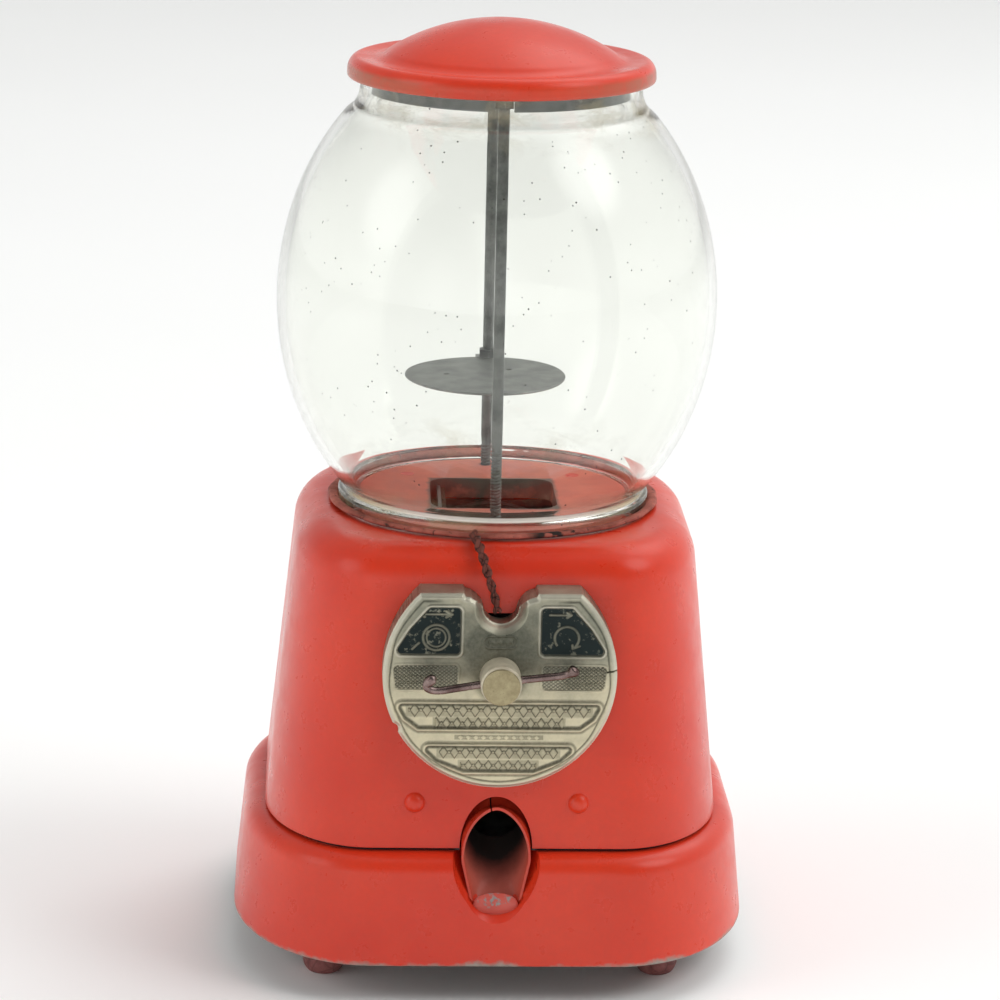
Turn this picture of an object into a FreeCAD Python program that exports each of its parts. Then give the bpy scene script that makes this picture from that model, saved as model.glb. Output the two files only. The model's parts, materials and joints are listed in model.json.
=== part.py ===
import FreeCAD, Part
import math
import os

# Penny vendor with a glass globe. Millimetres, +Z up, the floor is z = 0.
# The origin is the centre of the base on the floor, and the front faces -Y.

V = FreeCAD.Vector
X_AXIS = V(1, 0, 0)
Y_AXIS = V(0, 1, 0)
Z_AXIS = V(0, 0, 1)

# ---- driving dimensions ----
BASE_HALF = 101.6            # 8 inch square foot print
BASE_TOP_HALF = 97.2
BASE_CORNER = (55.0, 75.0)   # how far a corner reaches along the front and along the side
BASE_BOTTOM = 15.5           # height of the feet
SEAM = 58.2                  # where the body stands on the base
BASE_WALL = 3.0
BASE_TOP_WALL = 3.2
BASE_ROUND = 8.2
FOOT_R = 8.6
FOOT_BORE_R = 2.5
LUG_R = 10.5                 # bosses in the base that the feet are screwed to
LUG_HIGH = 9.0
LUG_WEB = 2.0                # half thickness of the web from a boss to the wall
SHEET_HALF = 94.0            # bottom sheet
SHEET_CORNER = (49.0, 68.0)
SHEET_BORE_R = 5.2
FOOT_PLACES = [("front_left", -65.5, -64.0), ("front_right", 65.5, -64.0),
               ("rear_left", -65.5, 64.0), ("rear_right", 65.5, 64.0)]

BODY_HALF = 89.6             # at the seam
BODY_SHOULDER = 79.0         # at SHOULDER_Z
SHOULDER_Z = 160.3
BODY_TOP = 175.5
BODY_CORNER = (42.0, 60.0)
BODY_WALL = 2.8
BODY_ROUND = 14.5
BODY_HOLE_R = 38.0           # mouth under the hopper plate
LEAN_SLOPE = (BODY_HALF - BODY_SHOULDER) / (SHOULDER_Z - SEAM)
LEAN = math.degrees(math.atan(LEAN_SLOPE))
FLANGE_DROP = 9.0            # how far the joining flanges reach inwards
FLANGE = 2.6                 # thickness of the body's joining flange
FLANGE_HALF = BODY_HALF - BODY_WALL - FLANGE_DROP
FLANGE_CORNER = (36.0, 50.0)
BODY_SCREW = 63.5            # the four screws of the joint are this far out both ways
BODY_BORE_R = 2.6

GLOBE_HALF = 86.6            # radius at the widest point
GLOBE_RISE = 103.0           # half height of the whole ellipse
GLOBE_MID = 257.0
GLASS = 3.4
GLOBE_FOOT_R = 61.8
GLOBE_FOOT_TOP = 180.8
NECK_R = 54.9
NECK_IN_R = 51.2
NECK_TOP = 346.5

LID_R = 60.1
LID_LOW = 344.4
LID_FLANGE = 352.4
LID_TOP = 367.1
LID_SHEET = 1.2
DOME_R = 46.5

ROD_X = -1.0
ROD_Y = 46.5
ROD_R = 2.15
ROD_LOW = 150.0
ROD_HIGH = 349.0
CLAMP_Z = 343.0
CLAMP_R = 50.4
BAFFLE = V(-3.4, 13.5, 222.0)
BAFFLE_R = 32.2
BAFFLE_SHEET = 0.9

ROD_BORE_R = 2.7
HOPPER_R = 54.8
HOPPER_BORE_R = 1.7
HOPPER_SINK = 1.3            # depth of the countersinks
HOPPER_TOP = BODY_TOP + 1.6
MOUTH_X = 25.0               # half width of the hopper mouth
MOUTH_Y = 22.0
MOUTH_MID_Y = 1.0

GASKET_R = 63.7              # centre line of the cord round the globe's foot
GASKET_WIRE = 1.6
GASKET_Z = BODY_TOP + 1.7
TAIL_R = 2.1
TAIL_ROUTE = [(-10.2, -64.8, 178.6), (-9.0, -71.0, 178.0), (-7.3, -77.4, 174.2),
              (-5.1, -82.0, 167.6), (-2.6, -84.6, 160.2), (-1.0, -85.2, 152.6)]

SHAFT_Z = 129.8              # the handle shaft, along Y
SHAFT_R = 4.0
RUNNING = 0.06               # radial clearance of a shaft in its bush
BUSH_R = 7.0
PLATE_R = 44.6
PLATE_FACE = -93.0
PLATE_FLAT = 162.3           # height of the plate's two flat tops
PLATE_CHAMFER = 1.6
NOTCH_R = 7.0
NOTCH_Z = 156.4
HUB_R = 7.9
HUB_FRONT = -105.0
CAP_THICK = 0.6
HANDLE_R = 1.75
HANDLE_Y = -99.6
HANDLE_ROUTE = [(-25.6, HANDLE_Y - 1.8, 3.0), (-27.6, HANDLE_Y - 1.0, -2.4), (-18.0, HANDLE_Y, -2.2),
                (18.0, HANDLE_Y, 2.2), (28.8, HANDLE_Y - 1.2, 6.4)]

CARRIER_R = 20.0
RATCHET_R = 16.0
TEETH = 12
BACK_PLATE_Y = -69.0
PILLARS = [(-28.0, 20.0), (28.0, 20.0), (-22.0, -26.0), (22.0, -26.0)]
PILLAR_R = 3.0
PILLAR_BORE_R = 1.6
PAWL_PIVOT = (26.0, -6.0)
DOG_PIVOT = (-26.0, 4.0)
PIVOT_R = 1.8
PAWL_SPRING = (V(31.0, -73.3, SHAFT_Z - 14.9), V(29.0, -73.3, SHAFT_Z - 26.0))
DOG_SPRING = (V(-31.5, -76.0, SHAFT_Z - 4.9), V(-30.2, -76.0, SHAFT_Z - 17.0))

DRUM_R = 38.0
DRUM_Y0 = -20.0
DRUM_Y1 = 22.0
POCKETS = 4
POCKET_R = 11.5
POCKET_OUT = 36.0            # how far a pocket's axis is from the shaft
HOUSING_R = 38.8
SHEET = 1.2

CHUTE_R = 13.4
CHUTE_WALL = 0.9
CHUTE_ANGLE = 41.0
CHUTE_MID = V(0, -93.5, 56.0)
CHUTE_FACE_TILT = 9.5        # the mouth leans back from upright
CHUTE_BACK = -72.0
CHUTE_ROOM_BASE = 15.8       # radius of the chute's recess in the base
CHUTE_ROOM_BODY = 14.4
TROUGH_HALF = 14.2

RIVET_BORE_R = 2.5
RIVET_X = 31.5
RIVET_Z = 77.4
DOOR_Z = 104.0               # middle of the back door, measured on the leaning wall
DOOR_X = 38.0
DOOR_H = 36.0
DOOR_GAP = 0.4
DOOR_SHEET = 2.0
HINGE_X = -41.8
HINGE_Y = 3.4
HINGE_R = 3.2
HINGE_PIN_R = 1.25
HINGE_SCREW_X = -47.5
HINGE_SCREW_R = 1.3
LOCK_X = 22.0
LOCK_R = 7.5


# ---- small helpers ----
def box(x0, x1, y0, y1, z0, z1):
    return Part.makeBox(x1 - x0, y1 - y0, z1 - z0, V(x0, y0, z0))


def cyl(r, length, at, axis):
    return Part.makeCylinder(r, length, at, axis)


def rod_y(r, y0, y1, x=0.0, z=SHAFT_Z):
    return cyl(r, y1 - y0, V(x, y0, z), Y_AXIS)


def rod_z(r, z0, z1, x=0.0, y=0.0):
    return cyl(r, z1 - z0, V(x, y, z0), Z_AXIS)


def hexagon(flat, height, at, axis, turn=0.0):
    """A hexagonal nut or head, flat = half the width across its flats."""
    corner = flat / math.cos(math.radians(30))
    points = []
    for i in range(7):
        a = math.radians(60 * i + turn)
        points.append(V(corner * math.cos(a), corner * math.sin(a), 0))
    solid = Part.Face(Part.makePolygon(points)).extrude(V(0, 0, height))
    solid.Placement = FreeCAD.Placement(at, FreeCAD.Rotation(Z_AXIS, axis))
    return solid


def group(shapes):
    return Part.makeCompound(shapes)


def join(shapes):
    solid = shapes[0]
    for other in shapes[1:]:
        solid = solid.fuse(other)
    return solid.removeSplitter()


def revolve(edges):
    """Turn a closed profile, drawn in the XZ plane, round the Z axis."""
    return Part.Face(Part.Wire(Part.__sortEdges__(edges))).revolve(V(0, 0, 0), Z_AXIS, 360)


def line(a, b):
    return Part.makeLine(V(a[0], 0, a[1]), V(b[0], 0, b[1]))


def arc(a, b, c):
    return Part.Arc(V(a[0], 0, a[1]), V(b[0], 0, b[1]), V(c[0], 0, c[1])).toShape()


def path_through(points, share=0.45):
    """Straight runs joined by tangent arcs as large as the two runs allow."""
    edges = []
    start = points[0]
    for i in range(1, len(points) - 1):
        before = points[i - 1] - points[i]
        after = points[i + 1] - points[i]
        turn = math.pi - before.getAngle(after)
        reach = share * min(before.Length, after.Length)
        before.normalize()
        after.normalize()
        a = points[i] + before * reach
        b = points[i] + after * reach
        middle = before + after
        middle.normalize()
        radius = reach / math.tan(turn / 2)
        centre = points[i] + middle * (radius / math.cos(turn / 2))
        top = centre - middle * radius
        edges.append(Part.LineSegment(start, a).toShape())
        edges.append(Part.Arc(a, top, b).toShape())
        start = b
    edges.append(Part.LineSegment(start, points[-1]).toShape())
    return Part.Wire(edges)


def tube_along(points, r):
    ring = Part.Wire(Part.makeCircle(r, points[0], points[1] - points[0]))
    return path_through(points).makePipeShell([ring], True, False)


def spring(start, end, r, wire, turns):
    """A closed-wound tension spring between two points."""
    axis = end - start
    helix = Part.makeHelix(axis.Length / turns, axis.Length, r)
    ring = Part.Wire(Part.makeCircle(wire, V(r, 0, 0), Y_AXIS))
    solid = Part.Wire(helix).makePipeShell([ring], True, True)
    solid.Placement = FreeCAD.Placement(start, FreeCAD.Rotation(Z_AXIS, axis))
    return solid


# ---- the rounded square that base and body share ----
def plan(half, corner, z):
    """A square outline with elliptical corners, flatter along the sides."""
    rx, ry = corner
    edges = []
    corners = [(1, 1), (-1, 1), (-1, -1), (1, -1)]
    ends = []
    for sx, sy in corners:
        on_side = V(sx * half, sy * (half - ry), z)
        on_front = V(sx * (half - rx), sy * half, z)
        ends.append([on_side, on_front] if sx * sy > 0 else [on_front, on_side])
    for i, (sx, sy) in enumerate(corners):
        a, b = ends[i]
        curve = Part.BezierCurve()
        curve.setPoles([a, V(sx * half, sy * half, z), b])
        curve.setWeight(2, math.sqrt(0.5))
        edges.append(curve.toShape())
        edges.append(Part.makeLine(b, ends[(i + 1) % 4][0]))
    return Part.Wire(edges)


def tapered(half0, half1, corner, z0, z1):
    shrink = half1 / half0
    low = plan(half0, corner, z0)
    high = plan(half1, (corner[0] * shrink, corner[1] * shrink), z1)
    return Part.makeLoft([low, high], True, True)


def inset(corner, wall):
    return (corner[0] - wall, corner[1] - wall)


def round_top(solid, radius, z):
    edges = [e for e in solid.Edges if e.BoundBox.ZMin > z - 0.01]
    return solid.makeFillet(radius, edges)


def body_half(z):
    return BODY_HALF - (z - SEAM) * LEAN_SLOPE


def on_front(shape, z):
    """Move a shape drawn at the origin (+Y inwards) on to the leaning front wall."""
    shape.rotate(V(0, 0, 0), X_AXIS, -LEAN)
    shape.translate(V(0, -body_half(z), z))
    return shape


def on_rear(shape):
    """Move a shape drawn at the origin (+Y outwards) on to the leaning rear wall."""
    shape.rotate(V(0, 0, 0), X_AXIS, LEAN)
    shape.translate(V(0, body_half(DOOR_Z), DOOR_Z))
    return shape


def chute_axis():
    a = math.radians(CHUTE_ANGLE)
    return V(0, math.cos(a), math.sin(a))


def chute_bore(r):
    axis = chute_axis()
    return cyl(r, 90, CHUTE_MID - axis * 40, axis)


# ---- base ----
def make_base():
    """Open-bottomed casting with four bosses for the feet and a hole under the body."""
    outer = tapered(BASE_HALF, BASE_TOP_HALF, BASE_CORNER, BASE_BOTTOM, SEAM)
    outer = round_top(outer, BASE_ROUND, SEAM)
    ceiling = SEAM - BASE_TOP_WALL
    hollow = tapered(BASE_HALF - BASE_WALL, BASE_TOP_HALF - BASE_WALL,
                     inset(BASE_CORNER, BASE_WALL), BASE_BOTTOM - 0.01, ceiling)
    hollow = round_top(hollow, BASE_ROUND - BASE_WALL, ceiling)
    mouth = tapered(FLANGE_HALF, FLANGE_HALF, FLANGE_CORNER, SEAM - 10, SEAM + 1)
    base = outer.cut(hollow).cut(mouth).cut(chute_bore(CHUTE_ROOM_BASE))
    lug_top = BASE_BOTTOM + LUG_HIGH
    for _, x, y in FOOT_PLACES:
        wall = math.copysign(BASE_HALF, x)
        lug = rod_z(LUG_R, BASE_BOTTOM, lug_top, x, y)
        web = box(min(x, wall), max(x, wall), y - LUG_WEB, y + LUG_WEB, BASE_BOTTOM, lug_top)
        base = base.fuse(lug).fuse(web.common(outer))
    for _, x, y in FOOT_PLACES:
        base = base.cut(rod_z(FOOT_BORE_R, BASE_BOTTOM - 1, lug_top + 1, x, y))
    for x, y in body_screw_places():
        base = base.cut(rod_z(BODY_BORE_R, SEAM - 6, SEAM + 1, x, y))
    return base.removeSplitter()


def make_bottom_plate():
    """Sheet that closes the base and catches the coins, resting on the four lugs."""
    z = BASE_BOTTOM + LUG_HIGH
    sheet = tapered(SHEET_HALF, SHEET_HALF, SHEET_CORNER, z, z + 1.5)
    for _, x, y in FOOT_PLACES:
        sheet = sheet.cut(rod_z(FOOT_BORE_R, z - 1, z + 3, x, y))
    return sheet.cut(rod_z(SHEET_BORE_R, z - 1, z + 3))


def make_foot(x, y):
    """Half-round rubber bumper with a screw well."""
    z_mid = FOOT_R * 0.62
    foot = rod_z(FOOT_R, z_mid, BASE_BOTTOM, x, y)
    ball = Part.makeSphere(FOOT_R, V(x, y, z_mid))
    ball = ball.common(rod_z(FOOT_R, 0, z_mid, x, y))
    foot = foot.fuse(ball).cut(rod_z(FOOT_BORE_R, -1, BASE_BOTTOM + 1, x, y))
    return foot.cut(rod_z(4.6, -1, 5.0, x, y)).removeSplitter()


def make_foot_screws():
    screws = []
    for _, x, y in FOOT_PLACES:
        head = rod_z(4.3, 3.2, 5.0, x, y)
        shank = rod_z(2.2, 5.0, BASE_BOTTOM + 15.5, x, y)
        nut = hexagon(3.9, 3.2, V(x, y, BASE_BOTTOM + 10.5), Z_AXIS)
        screws.append(join([head, shank, nut]))
    return group(screws)


# ---- body ----
def body_screw_places():
    return [(x, y) for y in (-BODY_SCREW, BODY_SCREW) for x in (-BODY_SCREW, BODY_SCREW)]


def body_block():
    """The body's outside, solid and with sharp top edges."""
    return tapered(BODY_HALF, body_half(BODY_TOP), BODY_CORNER, SEAM, BODY_TOP)


def make_body_walls():
    """The hollow body before its holes, open below inside the joining flange."""
    outer = round_top(body_block(), BODY_ROUND, BODY_TOP)
    ceiling = BODY_TOP - BODY_WALL
    hollow = tapered(BODY_HALF - BODY_WALL, body_half(ceiling) - BODY_WALL,
                     inset(BODY_CORNER, BODY_WALL), SEAM + FLANGE, ceiling)
    hollow = round_top(hollow, BODY_ROUND - BODY_WALL, ceiling)
    mouth = tapered(FLANGE_HALF, FLANGE_HALF, FLANGE_CORNER, SEAM - 1, SEAM + 4)
    return outer.cut(hollow).cut(mouth)


def body_top_holes():
    low = BODY_TOP - 6
    high = BODY_TOP + 1
    holes = [rod_z(BODY_HOLE_R, low, high)]
    holes += [rod_z(ROD_BORE_R, low, high, ROD_X, y) for y in (-ROD_Y, ROD_Y)]
    holes += [rod_z(HOPPER_BORE_R, low, high, x, y) for x, y in hopper_screw_places()]
    return holes


def body_front_holes():
    """The chute's bore, the mechanism's window, the pillars and the rivets."""
    window = rod_y(27.0, -95, -70).common(box(-30, 30, -95, -70, 90, 151.2))
    holes = [chute_bore(CHUTE_ROOM_BODY), window]
    holes += [rod_y(3.1, -95, -70, x, SHAFT_Z + z) for x, z in PILLARS]
    for x in (-RIVET_X, RIVET_X):
        holes.append(on_front(cyl(RIVET_BORE_R, 8, V(x, -2, 0), Y_AXIS), RIVET_Z))
    return holes


def body_rear_holes():
    """The cash door's opening and the holes of its hinge."""
    holes = [on_rear(box(-DOOR_X + 7, DOOR_X - 7, -8, 4, -DOOR_H + 6, DOOR_H - 6))]
    for z in (-24, 24):
        holes.append(on_rear(cyl(HINGE_SCREW_R, 12, V(HINGE_SCREW_X, -6, z), Y_AXIS)))
    return holes


def make_body_shell():
    body = make_body_walls()
    for hole in body_top_holes() + body_front_holes() + body_rear_holes():
        body = body.cut(hole)
    for x, y in body_screw_places():
        body = body.cut(rod_z(BODY_BORE_R, SEAM - 1, SEAM + 6, x, y))
    return body


def make_body_screws():
    screws = []
    for x, y in body_screw_places():
        head = hexagon(4.2, 3.0, V(x, y, SEAM + FLANGE), Z_AXIS)
        shank = rod_z(2.3, SEAM - 8, SEAM + FLANGE + 0.1, x, y)
        nut = hexagon(4.2, 3.4, V(x, y, SEAM - 6.6), Z_AXIS)
        screws.append(join([head, shank, nut]))
    return group(screws)


def make_front_rivets():
    rivets = []
    for x in (-RIVET_X, RIVET_X):
        dome = Part.makeSphere(4.3, V(x, 1.6, 0)).common(box(x - 5, x + 5, -4, 0, -5, 5))
        shank = cyl(2.4, 5.4, V(x, -0.5, 0), Y_AXIS)
        tail = cyl(3.4, 1.0, V(x, 4.5, 0), Y_AXIS)
        rivets.append(on_front(join([dome, shank, tail]), RIVET_Z))
    return group(rivets)


def make_chute_bracket():
    strap = box(-38, 38, BODY_WALL + 0.1, BODY_WALL + 1.6, -7, 7)
    for x in (-RIVET_X, RIVET_X):
        strap = strap.cut(cyl(RIVET_BORE_R, 8, V(x, 0, 0), Y_AXIS))
    strap = on_front(strap, RIVET_Z)
    return strap.cut(chute_bore(CHUTE_R + 0.05))


# ---- hopper, gasket and glass ----
def hopper_screw_places():
    return [(-34, -27), (34, -27), (-34, 29), (34, 29)]


def mouth_block(grow, z0, z1):
    block = box(-MOUTH_X - grow, MOUTH_X + grow, MOUTH_MID_Y - MOUTH_Y - grow,
                MOUTH_MID_Y + MOUTH_Y + grow, z0, z1)
    upright = [e for e in block.Edges if e.BoundBox.ZLength > 1]
    return block.makeFillet(8.0 + grow, upright)


def make_hopper_plate():
    disc = rod_z(HOPPER_R, BODY_TOP, HOPPER_TOP)
    collar = mouth_block(1.4, 168.9, BODY_TOP + 0.5)
    plate = disc.fuse(collar).cut(mouth_block(0, 160, 190))
    for y in (-ROD_Y, ROD_Y):
        plate = plate.cut(rod_z(ROD_BORE_R, BODY_TOP - 1, HOPPER_TOP + 1, ROD_X, y))
    for x, y in hopper_screw_places():
        at = V(x, y, HOPPER_TOP - HOPPER_SINK)
        plate = plate.cut(rod_z(HOPPER_BORE_R, BODY_TOP - 1, HOPPER_TOP + 1, x, y))
        plate = plate.cut(Part.makeCone(HOPPER_BORE_R, 3.0, HOPPER_SINK, at, Z_AXIS))
    return plate.removeSplitter()


def make_hopper_screws():
    screws = []
    for x, y in hopper_screw_places():
        head = Part.makeCone(1.6, 2.9, HOPPER_SINK, V(x, y, HOPPER_TOP - HOPPER_SINK), Z_AXIS)
        shank = rod_z(1.5, 167.4, HOPPER_TOP - 1.2, x, y)
        nut = hexagon(2.75, 2.4, V(x, y, 168.6), Z_AXIS)
        screws.append(join([head, shank, nut]))
    return group(screws)


def make_gasket_ring():
    return Part.makeTorus(GASKET_R, GASKET_WIRE, V(0, 0, GASKET_Z), Z_AXIS)


def make_gasket_tail():
    return tube_along([V(*p) for p in TAIL_ROUTE], TAIL_R)


def ellipse_edge(half, rise, z0, z1):
    """The globe's wall between two heights, as one elliptical arc."""
    curve = Part.Ellipse(V(0, 0, GLOBE_MID + rise), V(half, 0, GLOBE_MID), V(0, 0, GLOBE_MID))
    first = V(half * math.sqrt(1 - ((z0 - GLOBE_MID) / rise) ** 2), 0, z0)
    last = V(half * math.sqrt(1 - ((z1 - GLOBE_MID) / rise) ** 2), 0, z1)
    a = curve.parameter(first)
    b = curve.parameter(last)
    return Part.ArcOfEllipse(curve, min(a, b), max(a, b)).toShape(), first, last


def make_globe():
    outer, out_low, out_high = ellipse_edge(GLOBE_HALF, GLOBE_RISE, 183.0, 331.0)
    inner, in_low, in_high = ellipse_edge(GLOBE_HALF - GLASS, GLOBE_RISE - GLASS, 184.5, 331.0)
    foot_in = in_low.x - 0.8
    edges = [
        outer,
        arc((out_high.x, 331.0), (NECK_R + 1.7, 334.2), (NECK_R, 338.5)),
        line((NECK_R, 338.5), (NECK_R, NECK_TOP - 1.0)),
        arc((NECK_R, NECK_TOP - 1.0), (NECK_R - 0.3, NECK_TOP - 0.3), (NECK_R - 1.0, NECK_TOP)),
        line((NECK_R - 1.0, NECK_TOP), (NECK_IN_R, NECK_TOP)),
        line((NECK_IN_R, NECK_TOP), (NECK_IN_R, 338.0)),
        arc((NECK_IN_R, 338.0), (NECK_IN_R + 1.3, 334.2), (in_high.x, 331.0)),
        inner,
        line((in_low.x, 184.5), (foot_in, BODY_TOP + 0.02)),
        line((foot_in, BODY_TOP + 0.02), (GLOBE_FOOT_R - 0.6, BODY_TOP + 0.02)),
        line((GLOBE_FOOT_R - 0.6, BODY_TOP + 0.02), (GLOBE_FOOT_R, BODY_TOP + 0.6)),
        line((GLOBE_FOOT_R, BODY_TOP + 0.6), (GLOBE_FOOT_R, GLOBE_FOOT_TOP)),
        line((GLOBE_FOOT_R, GLOBE_FOOT_TOP), (out_low.x, 183.0)),
    ]
    return revolve(edges)


# ---- lid and its clamp ----
def dome_arc(drop):
    rise = LID_TOP - 352.8
    sphere = (DOME_R ** 2 + rise ** 2) / (2 * rise) - drop
    centre = LID_TOP - drop - sphere
    half = (DOME_R - drop) / 2
    edge = DOME_R - drop * 0.6
    mid = (half, centre + math.sqrt(sphere ** 2 - half ** 2))
    low = (edge, centre + math.sqrt(sphere ** 2 - edge ** 2))
    top = (0.0, LID_TOP - drop)
    return arc(top, mid, low), top, low


def make_lid_cap():
    outer, out_top, out_low = dome_arc(0.0)
    inner, in_top, in_low = dome_arc(LID_SHEET)
    s = LID_SHEET
    edges = [
        outer,
        line(out_low, (50.5, LID_FLANGE - 0.9)),
        line((50.5, LID_FLANGE - 0.9), (56.2, LID_FLANGE)),
        arc((56.2, LID_FLANGE), (59.2, LID_FLANGE - 1.1), (LID_R - 0.2, LID_FLANGE - 3.8)),
        line((LID_R - 0.2, LID_FLANGE - 3.8), (LID_R, LID_LOW)),
        line((LID_R, LID_LOW), (LID_R - s, LID_LOW)),
        line((LID_R - s, LID_LOW), (LID_R - s - 0.2, LID_FLANGE - 3.8)),
        arc((LID_R - s - 0.2, LID_FLANGE - 3.8), (58.2, LID_FLANGE - 2.0), (56.0, LID_FLANGE - s)),
        line((56.0, LID_FLANGE - s), (50.3, LID_FLANGE - 0.9 - s)),
        line((50.3, LID_FLANGE - 0.9 - s), in_low),
        inner,
        line(in_top, out_top),
    ]
    return revolve(edges)


def make_lid_gasket():
    return rod_z(57.0, NECK_TOP + 0.1, 350.2).cut(rod_z(51.6, NECK_TOP, 351))


def make_clamp_plate():
    """Pressed steel cup inside the neck, which the tie rods pull down."""
    cup = rod_z(CLAMP_R, 338.8, CLAMP_Z + 1.2)
    cup = cup.cut(rod_z(CLAMP_R - 1.2, 338.0, CLAMP_Z))
    cup = cup.cut(rod_z(2.1, 340, 350))
    for y in (-ROD_Y, ROD_Y):
        cup = cup.cut(rod_z(ROD_R, 340, 350, ROD_X, y))
        cup = cup.cut(rod_z(5.2, 338, CLAMP_Z, ROD_X, y))
    for i in range(3):
        a = math.radians(30 + 120 * i)
        cup = cup.cut(rod_z(9.0, 340, 350, 28 * math.cos(a), 28 * math.sin(a)))
    return cup


def make_lid_post():
    foot = rod_z(5.0, CLAMP_Z + 1.2, 364.4)
    disc = rod_z(10.0, 364.0, 365.1)
    return join([foot, disc]).cut(rod_z(2.0, 343, 356))


def make_post_screw():
    return join([rod_z(4.6, CLAMP_Z - 2.4, CLAMP_Z), rod_z(2.0, CLAMP_Z - 0.1, 355.8)])


def make_tie_rod(y):
    """Steel rod with a rolled thread at its lower end."""
    rod = rod_z(ROD_R, ROD_LOW, ROD_HIGH, ROD_X, y)
    for i in range(16):
        z = 153.0 + 1.3 * i
        groove = rod_z(ROD_R + 0.5, z, z + 0.45, ROD_X, y)
        rod = rod.cut(groove.cut(rod_z(ROD_R - 0.25, z, z + 0.45, ROD_X, y)))
    return rod


def rod_nut(y, z):
    nut = hexagon(3.4, 3.0, V(ROD_X, y, z), Z_AXIS, 30)
    return nut.cut(rod_z(ROD_R, z - 1, z + 4, ROD_X, y))


def make_rod_nuts():
    """Nuts above and below the clamp plate and the baffle disc."""
    nuts = []
    for y in (-ROD_Y, ROD_Y):
        for z in (CLAMP_Z + 1.2, CLAMP_Z - 3.0):
            nuts.append(rod_nut(y, z))
    for z in (BAFFLE.z - 3.0, BAFFLE.z + BAFFLE_SHEET):
        nuts.append(rod_nut(ROD_Y, z))
    return group(nuts)


def make_rod_washers():
    washers = []
    for y in (-ROD_Y, ROD_Y):
        z = BODY_TOP - BODY_WALL
        washer = rod_z(7.0, z - 1.1, z - 0.05, ROD_X, y)
        washers.append(washer.cut(rod_z(ROD_BORE_R, z - 2, z + 1, ROD_X, y)))
    return group(washers)


def make_wing_nut(y):
    z = BODY_TOP - BODY_WALL - 1.4
    boss = Part.makeCone(4.3, 5.6, 6.0, V(ROD_X, y, z - 6.0), Z_AXIS)
    wings = box(ROD_X - 12, ROD_X + 12, y - 1, y + 1, z - 10.5, z - 1.5)
    wings = wings.cut(box(ROD_X - 5.4, ROD_X + 5.4, y - 2, y + 2, z - 12, z - 5.9))
    return join([boss, wings]).cut(rod_z(ROD_R + 0.25, z - 13, z + 1, ROD_X, y))


def make_baffle_disc():
    disc = rod_z(BAFFLE_R, BAFFLE.z, BAFFLE.z + BAFFLE_SHEET, BAFFLE.x, BAFFLE.y)
    ear = box(ROD_X - 5, ROD_X + 5, 38, ROD_Y + 3.4, BAFFLE.z, BAFFLE.z + BAFFLE_SHEET)
    disc = disc.fuse(ear).cut(rod_z(ROD_R, BAFFLE.z - 1, BAFFLE.z + 2, ROD_X, ROD_Y))
    for x, y in ((-15.5, 0.0), (10.0, 9.0)):
        disc = disc.cut(rod_z(1.3, BAFFLE.z - 1, BAFFLE.z + 2, BAFFLE.x + x, BAFFLE.y + y))
    return disc.removeSplitter()


# ---- coin plate and handle ----
def outline_face(points, y):
    """A face across the shaft, its heights measured from the shaft."""
    corners = [V(x, y, SHAFT_Z + z) for x, z in points]
    return Part.Face(Part.makePolygon(corners + corners[:1]))


def panel(points, y0, y1):
    return outline_face(points, y0).extrude(V(0, y1 - y0, 0))


def border(points, width, y0, y1):
    """A raised edge that follows the inside of an outline."""
    face = outline_face(points, y0)
    return face.cut(face.makeOffset2D(-width)).extrude(V(0, y1 - y0, 0))


def mirrored(points):
    return [(-x, z) for x, z in points]


PANEL_OUTLINE = [(14.5, 8.2), (37.0, 8.2), (37.6, 11.5), (30.0, 23.0), (24.5, 26.6), (14.5, 26.6)]
BAR_OUTLINE = [(15.5, -5.6), (40.0, -5.6), (40.6, 4.6), (15.5, 5.0)]
UPPER_BANNER = [(-39.5, -11.6), (39.5, -11.6), (36.5, -17.5),
                (33.0, -22.6), (-33.0, -22.6), (-36.5, -17.5)]
LOWER_BANNER = [(-28.5, -28.0), (28.5, -28.0), (24.5, -33.0),
                (15.5, -38.6), (-15.5, -38.6), (-24.5, -33.0)]
RELIEF = 0.45                # height of the plate's raised bars and borders
BORDER = 0.9


def coin_cuts():
    """The open coin notch with its flare, the scoop in front and the slit behind."""
    notch = rod_y(NOTCH_R, -95, -70, 0, NOTCH_Z)
    flare = box(-10.4, 10.4, -95, -70, NOTCH_Z + 3.4, 170)
    step = box(-13.2, 13.2, -95, -70, NOTCH_Z + 4.4, 170)
    scoop = Part.makeCone(NOTCH_R + 2.2, NOTCH_R, 7.0, V(0, PLATE_FACE - 0.01, NOTCH_Z), Y_AXIS)
    slit = box(-10.2, 10.2, -84.9, -70, 128, 151)
    return [notch, flare, step, scoop, slit]


def plate_blank():
    """Disc with two flat tops and a chamfered rim, its back leaning with the body."""
    front = rod_y(PLATE_R, PLATE_FACE, -70.0)
    front = front.common(box(-60, 60, PLATE_FACE, -70.0, 60, PLATE_FLAT))
    rim = [e for e in front.Edges if e.BoundBox.YMax < PLATE_FACE + 0.01]
    front = front.makeChamfer(PLATE_CHAMFER, rim)
    return front.cut(on_front(box(-70, 70, 0, 40, -80, 80), SHAFT_Z))


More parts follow.
